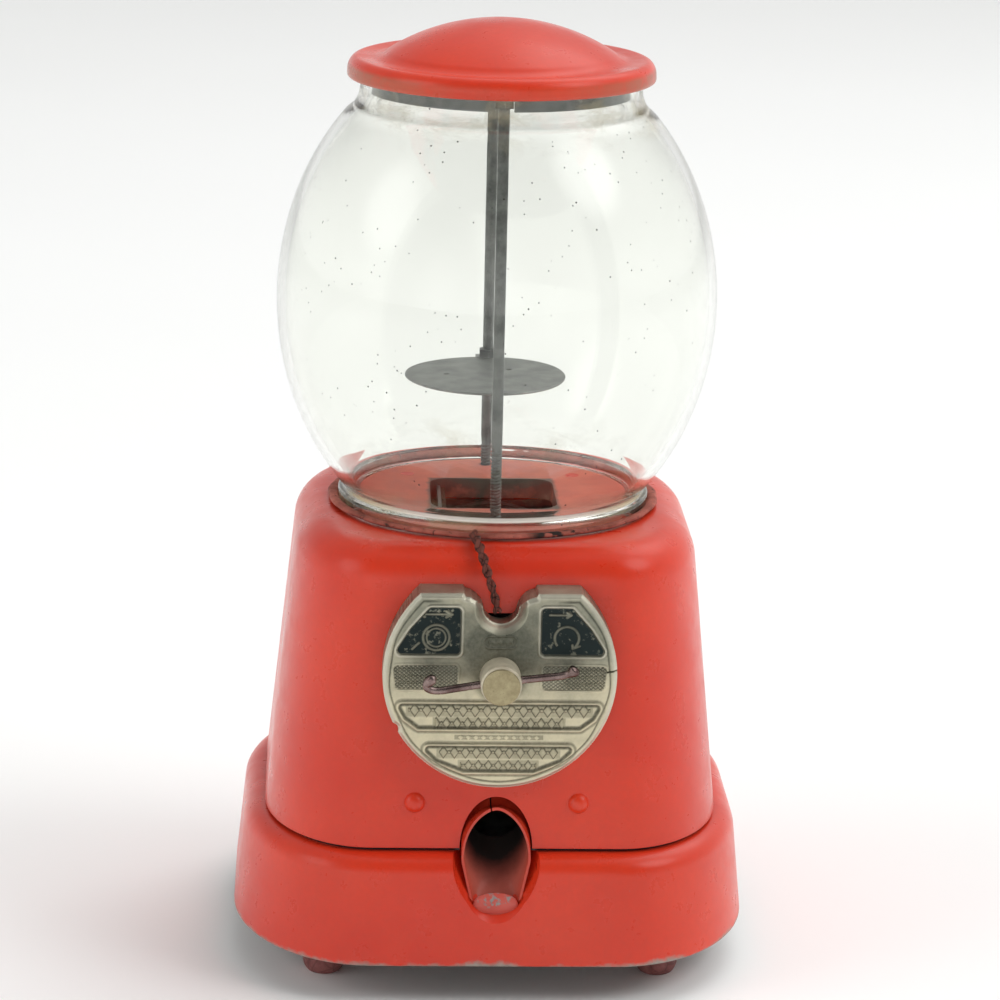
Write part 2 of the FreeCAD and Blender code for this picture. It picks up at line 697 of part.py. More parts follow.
def make_coin_plate():
    plate = plate_blank()
    for tool in coin_cuts():
        plate = plate.cut(tool)
    for outline in (PANEL_OUTLINE, mirrored(PANEL_OUTLINE)):
        plate = plate.cut(panel(outline, PLATE_FACE - 1, PLATE_FACE + 0.7))
    raised = PLATE_FACE - RELIEF
    for outline in (BAR_OUTLINE, mirrored(BAR_OUTLINE)):
        plate = plate.fuse(panel(outline, raised, PLATE_FACE + 1))
    for outline in (UPPER_BANNER, LOWER_BANNER):
        plate = plate.fuse(border(outline, BORDER, raised, PLATE_FACE + 1))
    for x, z in PILLARS:
        plate = plate.cut(rod_y(PILLAR_R, -88.5, -70, x, SHAFT_Z + z))
    plate = plate.cut(rod_y(SHAFT_R + RUNNING, -95, -70))
    return plate.removeSplitter()


def handle_bore():
    run = V(*HANDLE_ROUTE[3]) - V(*HANDLE_ROUTE[2])
    start = V(0, HANDLE_Y, SHAFT_Z) - run * 0.4
    return cyl(HANDLE_R, run.Length * 0.8, start, run)


def make_hub():
    hub = rod_y(HUB_R, HUB_FRONT, PLATE_FACE - 0.9)
    hub = hub.cut(rod_y(SHAFT_R, HUB_FRONT + 1.2, -90))
    return hub.cut(handle_bore())


def make_hub_cap():
    return rod_y(7.3, HUB_FRONT - CAP_THICK, HUB_FRONT)


def make_handle_wire():
    route = [V(x, y, SHAFT_Z + z) for x, y, z in HANDLE_ROUTE]
    return tube_along(route, HANDLE_R)


def make_shaft():
    shaft = rod_y(SHAFT_R, HUB_FRONT + 1.2, 36.0)
    return shaft.cut(handle_bore())


# ---- mechanism behind the plate ----
def make_coin_carrier():
    """Disc that a coin rests in, with a rear rim for the coin dog."""
    disc = rod_y(CARRIER_R, -79.7, -77.5)
    rim = rod_y(18.0, -77.5, -75.0)
    seat = rod_y(9.8, -81, -77.5, 0, SHAFT_Z + 17)
    stop = rod_y(3.2, -79, -74, 0, SHAFT_Z + 18)
    carrier = disc.fuse(rim).cut(seat).cut(stop)
    return carrier.cut(rod_y(SHAFT_R, -82, -70)).removeSplitter()


def make_ratchet_wheel():
    points = []
    for i in range(TEETH):
        a = 2 * math.pi * i / TEETH
        b = a + 2 * math.pi / TEETH * 0.94
        points.append((12.6 * math.sin(a), 12.6 * math.cos(a)))
        points.append((RATCHET_R * math.sin(b), RATCHET_R * math.cos(b)))
    wheel = panel(points, -74.4, -72.2)
    return wheel.cut(rod_y(SHAFT_R, -76, -70))


def lever(points, r, y0, y1, pivot):
    """A flat lever: rounded links between points, with a pivot eye."""
    solid = rod_y(3.6, y0, y1, pivot[0], SHAFT_Z + pivot[1])
    chain = [pivot] + points
    for (x0, z0), (x1, z1) in zip(chain, chain[1:]):
        length = math.hypot(x1 - x0, z1 - z0)
        nx = (z1 - z0) / length * r
        nz = (x0 - x1) / length * r
        solid = solid.fuse(panel([(x0 - nx, z0 - nz), (x1 - nx, z1 - nz),
                                  (x1 + nx, z1 + nz), (x0 + nx, z0 + nz)], y0, y1))
        solid = solid.fuse(rod_y(r, y0, y1, x1, SHAFT_Z + z1))
    solid = solid.cut(rod_y(PIVOT_R + RUNNING, y0 - 1, y1 + 1, pivot[0], SHAFT_Z + pivot[1]))
    return solid.removeSplitter()


def make_pawl():
    arm = lever([(17.2, 5.6)], 1.7, -74.4, -72.2, PAWL_PIVOT)
    tail = lever([(31.0, -13.0)], 1.5, -74.4, -72.2, PAWL_PIVOT)
    return arm.fuse(tail).removeSplitter()


def make_coin_dog():
    arm = lever([(-23.0, 13.0), (-13.2, 15.5)], 1.7, -76.8, -75.2, DOG_PIVOT)
    tail = lever([(-31.5, -3.0)], 1.5, -76.8, -75.2, DOG_PIVOT)
    return arm.fuse(tail).removeSplitter()


def make_pivot(pivot, front):
    """Shouldered post of a lever, riveted into the back plate."""
    x, z = pivot
    post = rod_y(PIVOT_R, front - 1.2, BACK_PLATE_Y + 2.0, x, SHAFT_Z + z)
    shoulder = rod_y(3.2, front + 2.6, BACK_PLATE_Y, x, SHAFT_Z + z)
    head = rod_y(2.8, front - 1.8, front - 0.5, x, SHAFT_Z + z)
    return join([post, shoulder, head])


def make_pawl_spring():
    start, end = PAWL_SPRING
    return spring(start, end, 1.5, 0.35, 9)


def make_dog_spring():
    start, end = DOG_SPRING
    return spring(start, end, 1.5, 0.35, 10)


def make_back_plate():
    plate = box(-36, 36, BACK_PLATE_Y, BACK_PLATE_Y + 2, SHAFT_Z - 31, SHAFT_Z + 24)
    plate = plate.cut(rod_y(BUSH_R, -72, -60))
    for x, z in PILLARS:
        plate = plate.cut(rod_y(PILLAR_BORE_R, -72, -60, x, SHAFT_Z + z))
    for x, z in (PAWL_PIVOT, DOG_PIVOT):
        plate = plate.cut(rod_y(PIVOT_R, -72, -60, x, SHAFT_Z + z))
    for _, end in (PAWL_SPRING, DOG_SPRING):
        plate = plate.fuse(rod_y(1.2, end.y - 1.6, BACK_PLATE_Y + 1, end.x, end.z - 1.3))
    return plate.removeSplitter()


def make_pillars():
    posts = []
    for x, z in PILLARS:
        post = rod_y(PILLAR_R, -88.5, BACK_PLATE_Y, x, SHAFT_Z + z)
        posts.append(post.cut(rod_y(1.5, -76, -60, x, SHAFT_Z + z)))
    return group(posts)


def make_pillar_screws():
    screws = []
    for x, z in PILLARS:
        head = rod_y(3.0, BACK_PLATE_Y + 2, BACK_PLATE_Y + 4, x, SHAFT_Z + z)
        shank = rod_y(1.5, -75.5, BACK_PLATE_Y + 2.1, x, SHAFT_Z + z)
        screws.append(join([head, shank]))
    return group(screws)


def make_shaft_bush():
    bush = rod_y(BUSH_R, BACK_PLATE_Y - 1.0, BACK_PLATE_Y + 4.0)
    return bush.cut(rod_y(SHAFT_R + RUNNING, -72, -60))


# ---- measuring drum and its housing ----
def make_drum():
    drum = rod_y(DRUM_R, DRUM_Y0, DRUM_Y1)
    for i in range(POCKETS):
        a = 2 * math.pi * i / POCKETS
        x = POCKET_OUT * math.sin(a)
        z = SHAFT_Z + POCKET_OUT * math.cos(a)
        drum = drum.cut(rod_y(POCKET_R, DRUM_Y0 + 4, DRUM_Y1 - 4, x, z))
    return drum.cut(rod_y(SHAFT_R, DRUM_Y0 - 1, DRUM_Y1 + 1))


def make_housing(side):
    """Curved sheet beside the drum, from the hopper mouth to the outlet."""
    y0 = DRUM_Y0 - 0.7
    y1 = DRUM_Y1 + 0.7
    shell = rod_y(HOUSING_R + SHEET, y0, y1).cut(rod_y(HOUSING_R, y0 - 1, y1 + 1))
    keep = [(0, 0)]
    for angle in (45, 90, 159):
        a = math.radians(angle)
        keep.append((70 * math.sin(a), 70 * math.cos(a)))
    wedge = panel([(side * x, z) for x, z in keep], y0 - 1, y1 + 1)
    return shell.common(wedge)


def make_end_plate(front):
    """Side wall of the drum housing, with a flange that hangs from the body's top."""
    y0 = DRUM_Y0 - 2.2 if front else DRUM_Y1 + 1.0
    y1 = y0 + 1.2
    top = BODY_TOP - BODY_WALL - 0.1
    wall = box(-41, 41, y0, y1, SHAFT_Z - HOUSING_R - SHEET, top)
    wall = wall.common(join([rod_y(46.0, y0, y1), box(-41, 41, y0, y1, SHAFT_Z, top)]))
    if front:
        flange = box(-41, 41, y0 - 9.5, y1, top - 1.2, top)
    else:
        flange = box(-41, 41, y0, y1 + 9.5, top - 1.2, top)
    wall = wall.fuse(flange)
    wall = wall.cut(mouth_block(1.6, 168.0, 180))
    for x, y in hopper_screw_places():
        wall = wall.cut(rod_z(HOPPER_BORE_R, 165, 180, x, y))
    bore = SHAFT_R + 0.5 if front else BUSH_R
    return wall.cut(rod_y(bore, y0 - 1, y1 + 1)).removeSplitter()


def make_rear_bush():
    bush = rod_y(BUSH_R, DRUM_Y1 + 0.4, DRUM_Y1 + 4.5)
    collar = rod_y(9.0, DRUM_Y1 + 2.2, DRUM_Y1 + 3.6)
    return join([bush, collar]).cut(rod_y(SHAFT_R + RUNNING, 20, 40))


def make_shaft_nut():
    nut = hexagon(6.5, 4.0, V(0, DRUM_Y1 + 5.2, SHAFT_Z), Y_AXIS)
    return nut.cut(rod_y(SHAFT_R, 20, 40))


def make_brush_holder():
    return box(-22, -20.6, DRUM_Y0 + 2, DRUM_Y1 - 2, 169.6, 175.0)


def make_brush_bristles():
    """Bristle strip at the mouth's edge that wipes the drum's pockets level."""
    return box(-20.6, -18.8, DRUM_Y0 + 2, DRUM_Y1 - 2, 163.9, 174.0)


# ---- chute ----
def mouth_plane_block():
    """Everything in front of the chute's slanted mouth."""
    block = box(-40, 40, -60, 0, -60, 60)
    block.rotate(V(0, 0, 0), X_AXIS, -CHUTE_FACE_TILT)
    block.translate(CHUTE_MID)
    return block


def make_chute():
    """Rolled tube, split along its top, with a turned-up lip at the mouth."""
    tube = chute_bore(CHUTE_R).cut(chute_bore(CHUTE_R - CHUTE_WALL))
    tube = tube.cut(box(-0.35, 0.35, -110, -60, CHUTE_MID.z, 140))
    tube = tube.cut(mouth_plane_block())
    tube = tube.cut(box(-40, 40, CHUTE_BACK, 40, 0, 200))
    lip = box(-40, 40, 0, CHUTE_WALL, -60, -12.0)
    lip.rotate(V(0, 0, 0), X_AXIS, -CHUTE_FACE_TILT)
    lip.translate(CHUTE_MID)
    return tube.fuse(lip.common(chute_bore(CHUTE_R))).removeSplitter()


def make_trough():
    """Open channel under the drum that leads to the chute."""
    top = SHAFT_Z - HOUSING_R - SHEET - 0.6
    front = CHUTE_BACK + 0.3
    back = DRUM_Y1 + 3.0
    low = 58.0
    rise = low + (back - front) * math.tan(math.radians(17.0))
    side = [V(0, front, low), V(0, back, rise), V(0, back, top), V(0, front, top)]
    outer = [V(0, front, low - SHEET), V(0, back + SHEET, rise - SHEET),
             V(0, back + SHEET, top), V(0, front, top)]
    space = Part.Face(Part.makePolygon(side + side[:1])).extrude(V(2 * TROUGH_HALF, 0, 0))
    space.translate(V(-TROUGH_HALF, 0, 0))
    solid = Part.Face(Part.makePolygon(outer + outer[:1])).extrude(V(2 * TROUGH_HALF + 2 * SHEET, 0, 0))
    solid.translate(V(-TROUGH_HALF - SHEET, 0, 0))
    return solid.cut(space)


# ---- back door ----
def knuckle(z0, z1):
    return cyl(HINGE_R, z1 - z0, V(HINGE_X, HINGE_Y, z0), Z_AXIS)


def hinge_bore(r):
    return cyl(r, 80, V(HINGE_X, HINGE_Y, -40), Z_AXIS)


def make_back_door():
    door = box(-DOOR_X, DOOR_X, DOOR_GAP, DOOR_GAP + DOOR_SHEET, -DOOR_H, DOOR_H)
    upright = [e for e in door.Edges if e.BoundBox.YLength > 1 and e.BoundBox.XMin > 0]
    door = door.makeFillet(5.0, upright)
    tongue = box(HINGE_X, -36, DOOR_GAP, DOOR_GAP + DOOR_SHEET, -11.6, 11.6)
    door = join([door, tongue, knuckle(-11.6, 11.6)])
    door = door.cut(hinge_bore(HINGE_PIN_R + RUNNING))
    door = door.cut(cyl(LOCK_R, 10, V(LOCK_X, -2, 0), Y_AXIS))
    return on_rear(door)


def make_hinge_leaf():
    parts = []
    for z0, z1 in ((-30, -12), (12, 30)):
        leaf = box(-54, HINGE_X, 0.2, 1.4, z0, z1)
        parts.append(leaf.fuse(knuckle(z0, z1)))
    leaf = box(-54, -46, 0.2, 1.4, -30, 30)
    solid = join([leaf] + parts).cut(hinge_bore(HINGE_PIN_R))
    for z in (-24, 24):
        solid = solid.cut(cyl(HINGE_SCREW_R, 8, V(HINGE_SCREW_X, -3, z), Y_AXIS))
    return on_rear(solid).cut(body_block())


def make_hinge_pin():
    return on_rear(cyl(HINGE_PIN_R, 61.0, V(HINGE_X, HINGE_Y, -30.5), Z_AXIS))


def make_lock_barrel():
    outside = DOOR_GAP + DOOR_SHEET
    face = cyl(9.5, 2.2, V(LOCK_X, outside, 0), Y_AXIS)
    barrel = cyl(LOCK_R, 8.4, V(LOCK_X, -6.0, 0), Y_AXIS)
    keyway = box(LOCK_X - 0.7, LOCK_X + 0.7, outside + 1.2, 6, -3.2, 3.2)
    lock = join([face, barrel]).cut(keyway)
    return on_rear(lock.cut(cyl(2.5 + RUNNING, 6, V(LOCK_X, -7, 0), Y_AXIS)))


def make_lock_cam():
    stem = cyl(2.5, 6.0, V(LOCK_X, -7.4, 0), Y_AXIS)
    arm = box(LOCK_X - 4, LOCK_X + 4, -7.7, -6.2, -4, 19)
    return on_rear(join([stem, arm]))


def make_parts():
    parts = {
        "base": make_base(),
        "bottom_plate": make_bottom_plate(),
        "foot_screws": make_foot_screws(),
        "body_shell": make_body_shell(),
        "body_screws": make_body_screws(),
        "front_rivets": make_front_rivets(),
        "chute_bracket": make_chute_bracket(),
        "hopper_plate": make_hopper_plate(),
        "hopper_screws": make_hopper_screws(),
        "gasket_ring": make_gasket_ring(),
        "gasket_tail": make_gasket_tail(),
        "globe": make_globe(),
        "lid_cap": make_lid_cap(),
        "lid_gasket": make_lid_gasket(),
        "clamp_plate": make_clamp_plate(),
        "lid_post": make_lid_post(),
        "post_screw": make_post_screw(),
        "tie_rod_front": make_tie_rod(-ROD_Y),
        "tie_rod_rear": make_tie_rod(ROD_Y),
        "rod_nuts": make_rod_nuts(),
        "rod_washers": make_rod_washers(),
        "wing_nut_front": make_wing_nut(-ROD_Y),
        "wing_nut_rear": make_wing_nut(ROD_Y),
        "baffle_disc": make_baffle_disc(),
        "coin_plate": make_coin_plate(),
        "hub": make_hub(),
        "hub_cap": make_hub_cap(),
        "handle_wire": make_handle_wire(),
        "handle_shaft": make_shaft(),
        "coin_carrier": make_coin_carrier(),
        "ratchet_wheel": make_ratchet_wheel(),
        "ratchet_pawl": make_pawl(),
        "lever_pivots": group([make_pivot(PAWL_PIVOT, -74.4), make_pivot(DOG_PIVOT, -76.8)]),
        "pawl_spring": make_pawl_spring(),
        "coin_dog": make_coin_dog(),
        "dog_spring": make_dog_spring(),
        "back_plate": make_back_plate(),
        "pillars": make_pillars(),
        "pillar_screws": make_pillar_screws(),
        "shaft_bush": make_shaft_bush(),
        "measuring_drum": make_drum(),
        "housing_left": make_housing(-1),
        "housing_right": make_housing(1),
        "housing_front": make_end_plate(True),
        "housing_rear": make_end_plate(False),
        "rear_bush": make_rear_bush(),
        "shaft_nut": make_shaft_nut(),
        "brush_holder": make_brush_holder(),
        "brush_bristles": make_brush_bristles(),
        "chute": make_chute(),
        "trough": make_trough(),
        "back_door": make_back_door(),
        "door_hinge": make_hinge_leaf(),
        "hinge_pin": make_hinge_pin(),
        "lock_barrel": make_lock_barrel(),
        "lock_cam": make_lock_cam(),
    }
    for place, x, y in FOOT_PLACES:
        parts["foot_" + place] = make_foot(x, y)
    return parts


def main():
    os.makedirs("parts", exist_ok=True)
    for name, shape in make_parts().items():
        shape.exportStep("parts/" + name + ".step")
        print(name, len(shape.Solids), shape.isValid(), round(shape.Volume, 1))


main()
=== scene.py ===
from math import atan, atan2, copysign, cos, hypot, pi, radians, sin, sqrt

import bmesh
import bpy
import numpy as np
from mathutils import Matrix, Vector, noise
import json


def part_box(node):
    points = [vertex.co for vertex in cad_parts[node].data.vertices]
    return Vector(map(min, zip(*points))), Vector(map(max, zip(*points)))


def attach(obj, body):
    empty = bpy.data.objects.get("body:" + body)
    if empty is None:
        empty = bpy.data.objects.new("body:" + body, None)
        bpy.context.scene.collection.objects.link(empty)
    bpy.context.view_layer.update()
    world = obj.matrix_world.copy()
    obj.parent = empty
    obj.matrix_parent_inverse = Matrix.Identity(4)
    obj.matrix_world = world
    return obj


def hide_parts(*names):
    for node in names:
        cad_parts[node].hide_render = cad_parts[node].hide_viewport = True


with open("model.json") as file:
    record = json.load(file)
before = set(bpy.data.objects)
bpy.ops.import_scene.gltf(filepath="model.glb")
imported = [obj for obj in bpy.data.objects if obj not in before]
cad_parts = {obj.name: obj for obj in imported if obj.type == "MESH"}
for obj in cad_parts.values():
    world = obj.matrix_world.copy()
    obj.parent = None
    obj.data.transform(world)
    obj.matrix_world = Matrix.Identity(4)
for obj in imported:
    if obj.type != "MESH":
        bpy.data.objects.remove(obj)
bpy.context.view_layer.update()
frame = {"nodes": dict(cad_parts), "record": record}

# Penny vendor with a glass globe. Shapes are written in millimetres in the CAD's own frame and scaled once,
# when a mesh is made: the origin is the centre of the base on the floor, +Z is up and the front faces -Y.
# Materials work in the object's own coordinates, which are metres.
MM = 0.001


# ---- driving dimensions, the same as the CAD's ----
def corners_mm(node):
    low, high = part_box(node)
    return low / MM, high / MM


base_low, base_high = corners_mm("base")
body_high = corners_mm("body_shell")[1]
lid_low, lid_high = corners_mm("lid_cap")
plate_high = corners_mm("coin_plate")[1]
hub_low, hub_high = corners_mm("hub")
disc_low, disc_high = corners_mm("baffle_disc")

BASE_HALF = base_high.x
BASE_BOTTOM = base_low.z
SEAM = base_high.z
BASE_SLOPE = 0.103           # how much the base draws in per unit of height
BASE_CORNER = (55.0, 75.0)
BASE_ROUND = 8.2
BASE_WALL = 3.0
BODY_HALF = body_high.x
BODY_TOP = body_high.z
BODY_SLOPE = 0.10382
BODY_CORNER = (42.0, 60.0)
BODY_ROUND = 14.5
BODY_WALL = 2.8
BODY_HOLE_R = 38.0
MOUTH_HALF = 77.8            # opening between body and base
MOUTH_CORNER = (36.0, 50.0)
MOUTH_RISE = 2.6             # height of the flange round it
SHAFT_Z = (hub_low.z + hub_high.z) / 2
PLATE_R = plate_high.x
PLATE_FACE = -93.0
PLATE_FLAT = plate_high.z - SHAFT_Z
NOTCH_R = 7.0
NOTCH_Z = 26.6               # above the shaft
NOTCH_FLARE_R = 10.4
HUB_R = 7.8
HUB_BACK = -92.2
HUB_FRONT = hub_low.y
CAP_R = 7.15
CAP_THICK = 0.6
CAP_DROP = 0.45              # the face sits a little low on the hub
HANDLE_Y = -99.6
CHUTE_R = 13.4
CHUTE_WALL = 0.9
CHUTE_HOLE_R = 14.0          # in the body
CHUTE_GAP = 0.05             # between the tube and the base
CHUTE_ANGLE = radians(41.0)
CHUTE_MID = Vector((0.0, -93.5, 56.0))
CHUTE_TILT = radians(9.5)
CHUTE_BACK = -72.0
CHUTE_AXIS = Vector((0.0, cos(CHUTE_ANGLE), sin(CHUTE_ANGLE)))
CHUTE_UP = Vector((0.0, -sin(CHUTE_ANGLE), cos(CHUTE_ANGLE)))
CHUTE_FACE = Vector((0.0, -cos(CHUTE_TILT), sin(CHUTE_TILT)))
ACROSS = Vector((1.0, 0.0, 0.0))
UP = Vector((0.0, 0.0, 1.0))
RIM_TOP = 0.95               # the chute's rim: height of its top, and where and how far its sides draw in
RIM_SINK = 0.62              # how fast the tube's top falls behind the rim
RIM_CORNER = 0.72
RIM_NARROW = 0.67
RIM_FALL = 0.9
RIM_SPLIT = radians(-9.0)
RIM_GAP = radians(1.3)
BORE_R = 17.2                # recess in the base round the chute
BORE_LIFT = 7.0
GASKET_R = 63.7
GASKET_Z = BODY_TOP + 1.7
ROD_X = -1.0
ROD_Y = 46.5
ROD_R = 2.15
ROD_HOLE_R = 2.7
THREAD_LOW = 150.5
THREAD_PITCH = 1.3
THREAD_DEPTH = 0.42
DOOR_Z = 104.0
DOOR_HALF = (31.0, 30.0)
BOSS_R = 10.5                # pads inside the base, over the feet
BOSS_HIGH = 9.0
FEET = (("front_left", -65.5, -64.0), ("front_right", 65.5, -64.0),
        ("rear_left", -65.5, 64.0), ("rear_right", 65.5, 64.0))

# ---- camera, before anything else ----
LENS = 143.6                 # on a 36 mm sensor
CAMERA_AT = Vector((-72.7, -1536.8, 581.7)) * MM
CAMERA_TURN = -2.82          # where it looks, degrees from +Y
CAMERA_PITCH = -14.82
CAMERA_ROLL = 1.29


def make_camera():
    turn, pitch, roll = (radians(a) for a in (CAMERA_TURN, CAMERA_PITCH, CAMERA_ROLL))
    level = Vector((-sin(turn), cos(turn), 0.0))
    forward = level * cos(pitch) + UP * sin(pitch)
    side = Vector((cos(turn), sin(turn), 0.0))
    above = side.cross(forward)
    right = side * cos(roll) + above * sin(roll)
    up = above * cos(roll) - side * sin(roll)
    data = bpy.data.cameras.new("camera")
    data.lens = LENS
    data.sensor_width = 36.0
    data.clip_end = 50.0
    camera = linked("camera", data)
    camera.matrix_world = Matrix.Translation(CAMERA_AT) @ Matrix((right, up, -forward)).transposed().to_4x4()
    bpy.context.scene.camera = camera


# ---- node trees ----
class Signal:
    """A node's output. Arithmetic on it adds Math nodes to the same tree."""

    def __init__(self, nodes, socket):
        self.nodes = nodes
        self.socket = socket

    def math(self, operation, other=0.0):
        return self.nodes.node("Math", "Value", {0: self, 1: other}, operation=operation)

    def __add__(self, other):
        return self.math("ADD", other)

    def __sub__(self, other):
        return self.math("SUBTRACT", other)

    def __mul__(self, other):
        return self.math("MULTIPLY", other)

    def __abs__(self):
        return self.math("ABSOLUTE")

    def most(self, other):
        return self.math("MAXIMUM", other)

    def step(self, low, high, out_low=0.0, out_high=1.0, **settings):
        """out_low up to low, out_high from high on; low may be the larger one."""
        ends = {"Value": self, "From Min": low, "From Max": high, "To Min": out_low, "To Max": out_high}
        return self.nodes.node("MapRange", "Result", ends, **settings)


class Nodes:
    """Short calls that add nodes to a tree. An input is a Signal or a plain value."""

    def __init__(self, tree):
        self.tree = tree

    def node(self, kind, output, inputs=None, **settings):
        made = self.tree.nodes.new("ShaderNode" + kind)
        for key, value in settings.items():
            setattr(made, key, value)
        for key, value in (inputs or {}).items():
            self.feed(made.inputs[key], value)
        return Signal(self, made.outputs[output])

    def feed(self, socket, value):
        if isinstance(value, Signal):
            self.tree.links.new(value.socket, socket)
        else:
            socket.default_value = value

    def vector(self, operation, a, b=(0.0, 0.0, 0.0), output="Vector"):
        return self.node("VectorMath", output, {0: a, 1: b}, operation=operation)


class Paint(Nodes):
    """One node material. Fixed numbers are set on the shader's own sockets."""

    def __init__(self, name, **sockets):
        self.material = bpy.data.materials.new(name)
        self.material.use_nodes = True
        super().__init__(self.material.node_tree)
        self.shader = self.tree.nodes["Principled BSDF"]
        for socket, value in sockets.items():
            self.set(socket.replace("_", " "), value)
        self.place = self.node("TexCoord", "Object")

    def set(self, socket, value):
        self.feed(self.shader.inputs[socket], value)

    def noise(self, scale, detail=4.0, rough=0.55, warp=0.0, stretch=None):
        place = self.place
        if stretch:
            place = self.node("Mapping", "Vector", {"Vector": place, "Scale": stretch})
        inputs = {"Vector": place, "Scale": scale, "Detail": detail, "Roughness": rough, "Distortion": warp}
        return self.node("TexNoise", "Fac", inputs)

    def cells(self, scale, feature="F1"):
        inputs = {"Vector": self.place, "Scale": scale}
        return self.node("TexVoronoi", "Distance", inputs, feature=feature)

    def attribute(self, name):
        return self.node("Attribute", "Fac", attribute_name=name)

    def axis(self, letter):
        return self.node("SeparateXYZ", letter, {"Vector": self.place})

    def spot(self, at, size):
        """1 at a place on the object, falling to 0 at its edge; size is in millimetres."""
        offset = self.vector("SUBTRACT", self.place, Vector(at) * MM)
        scaled = self.vector("MULTIPLY", offset, [1.0 / (s * MM) for s in size])
        return self.vector("LENGTH", scaled, output="Value").step(1.0, 0.0)

    def mix(self, share, a, b):
        a, b = (colour if isinstance(colour, Signal) else (*colour, 1.0) for colour in (a, b))
        return self.node("Mix", 2, {"Factor": share, 6: a, 7: b}, data_type="RGBA")

    def layers(self, colour, *layers):
        """A colour with layers of (share, colour) over it, the last one on top."""
        for share, over in layers:
            colour = self.mix(share, colour, over)
        return colour

    def bump(self, height, depth, strength):
        inputs = {"Height": height, "Distance": depth * MM, "Strength": strength}
        self.set("Normal", self.node("Bump", "Normal", inputs))

    def finished(self, colour, rough, height, depth, strength):
        """The material, with its colour, its roughness and a bump of some millimetres' depth."""
        self.set("Base Color", colour)
        self.set("Roughness", rough)
        self.bump(height, depth, strength)
        return self.material


# ---- materials ----
CHIPS = [((-69.5, -98.0, 58.4), 1.5), ((-64.5, -98.6, 57.0), 1.6), ((-48.0, -99.0, 56.8), 0.8),
         ((-83.0, -92.0, 46.0), 1.0), ((56.0, -99.0, 40.0), 0.7), ((20.0, -100.5, 30.0), 0.6)]
SCRATCHES = [((-78.0, -96.0, 47.4), (5.0, 6.0, 0.35)), ((-65.5, -99.0, 44.0), (0.3, 5.0, 5.0)),
             ((48.8, -99.0, 54.0), (2.8, 5.0, 0.4)), ((51.4, -99.5, 45.3), (0.3, 5.0, 2.2)),
             ((68.3, -98.0, 25.3), (0.3, 6.0, 3.4)), ((62.0, -98.0, 48.0), (0.25, 6.0, 9.0)),
             ((49.2, -80.0, 166.5), (0.9, 6.0, 5.0)), ((-66.0, -99.5, 38.0), (0.25, 5.0, 3.0))]


def red_enamel():
    """Old gloss enamel: uneven, worn at the lid's rim, dirty at the gasket, chipped and scratched, with painted shade
    in the groove between body and base.
    """
    p = Paint("red_enamel", Coat_Weight=0.22, Coat_Roughness=0.1, Specular_IOR_Level=0.38)
    fine = p.noise(420.0, 4.0, 0.65)
    height = p.axis("Z")
    away = p.vector("LENGTH", p.vector("MULTIPLY", p.place, (1.0, 1.0, 0.0)), output="Value")
    dirt = p.noise(120.0, 6.0, 0.7).step(0.36, 0.52)
    specks = p.cells(210.0).step(0.036, 0.02) * p.noise(30.0, 2.0).step(0.62, 0.64, 0.0, 0.6)
    ring = away.step(0.0535, 0.055) * away.step(0.0625, 0.0605) * abs(height - 0.176).step(0.0035, 0.0025)
    rim = height.step(0.3436, 0.345) * height.step(0.3503, 0.3488)
    rim = rim * abs(p.axis("X")).step(0.02, 0.052, 0.15, 0.75)
    # painted shade: the groove where the body meets the base is coloured near black
    seam_shade = height.step(0.05821, 0.05824) * height.step(0.05946, 0.05936)
    red = p.mix(p.noise(14.0, 5.0, 0.6).step(0.35, 0.68), (0.62, 0.027, 0.008), (0.72, 0.044, 0.013))
    red = p.layers(red, (fine.step(0.35, 0.68, 0.0, 0.22), (0.5, 0.042, 0.018)),
                   (p.noise(9.0, 3.0, 0.5).step(0.5, 0.75, 0.0, 0.22), (0.3, 0.02, 0.01)),
                   (specks, (0.1, 0.035, 0.025)),
                   (ring * dirt, (0.07, 0.03, 0.022)),
                   (rim * dirt.step(0.0, 1.0, 0.55, 1.0), (0.33, 0.12, 0.065)),
                   (seam_shade, (0.012, 0.006, 0.005)))
    bare = (height + p.noise(55.0, 6.0, 0.7) * 0.01).step(0.0225, 0.0205)
    for at, size in CHIPS:
        bare = bare.most(p.spot(at, (size,) * 3).step(0.3, 0.45))
    broken = p.noise(1100.0, 2.0).step(0.4, 0.6)
    for at, size in SCRATCHES:
        bare = bare.most((p.spot(at, size) * broken).step(0.3, 0.6, 0.0, 0.8))
    metal = p.mix(p.noise(400.0, 4.0), (0.16, 0.13, 0.11), (0.44, 0.38, 0.33))
    rough = p.noise(90.0, 5.0, 0.65).step(0.3, 0.75, 0.24, 0.42) + bare * 0.2
    dents = p.noise(12.0, 1.0) * 1.6 + fine * 0.1 - bare * 0.12
    return p.finished(p.mix(bare, red, metal), rough, dents, 0.4, 0.3)


def hopper_enamel():
    """The hopper floor: enamel dulled by nuts, with painted shade, dark brown, at the mouth's edge and inside it."""
    p = Paint("hopper_enamel", Specular_IOR_Level=0.4)
    cloud = p.noise(60.0, 6.0, 0.65)
    red = p.mix(cloud.step(0.35, 0.65), (0.55, 0.13, 0.092), (0.76, 0.235, 0.17))
    # painted shade: dark brown at the hopper mouth's edge and inside it, with a noisy border
    x = abs(p.axis("X")).step(0.0235, 0.0275)
    y = abs(p.axis("Y") - 0.001).step(0.0205, 0.0245)
    edge = x.most(y) + (cloud - 0.5) * 1.6
    colour = p.mix(edge.step(0.75, 0.35), red, (0.13, 0.095, 0.08))
    return p.finished(colour, cloud.step(0.3, 0.7, 0.35, 0.6), p.noise(420.0, 4.0), 0.1, 0.35)


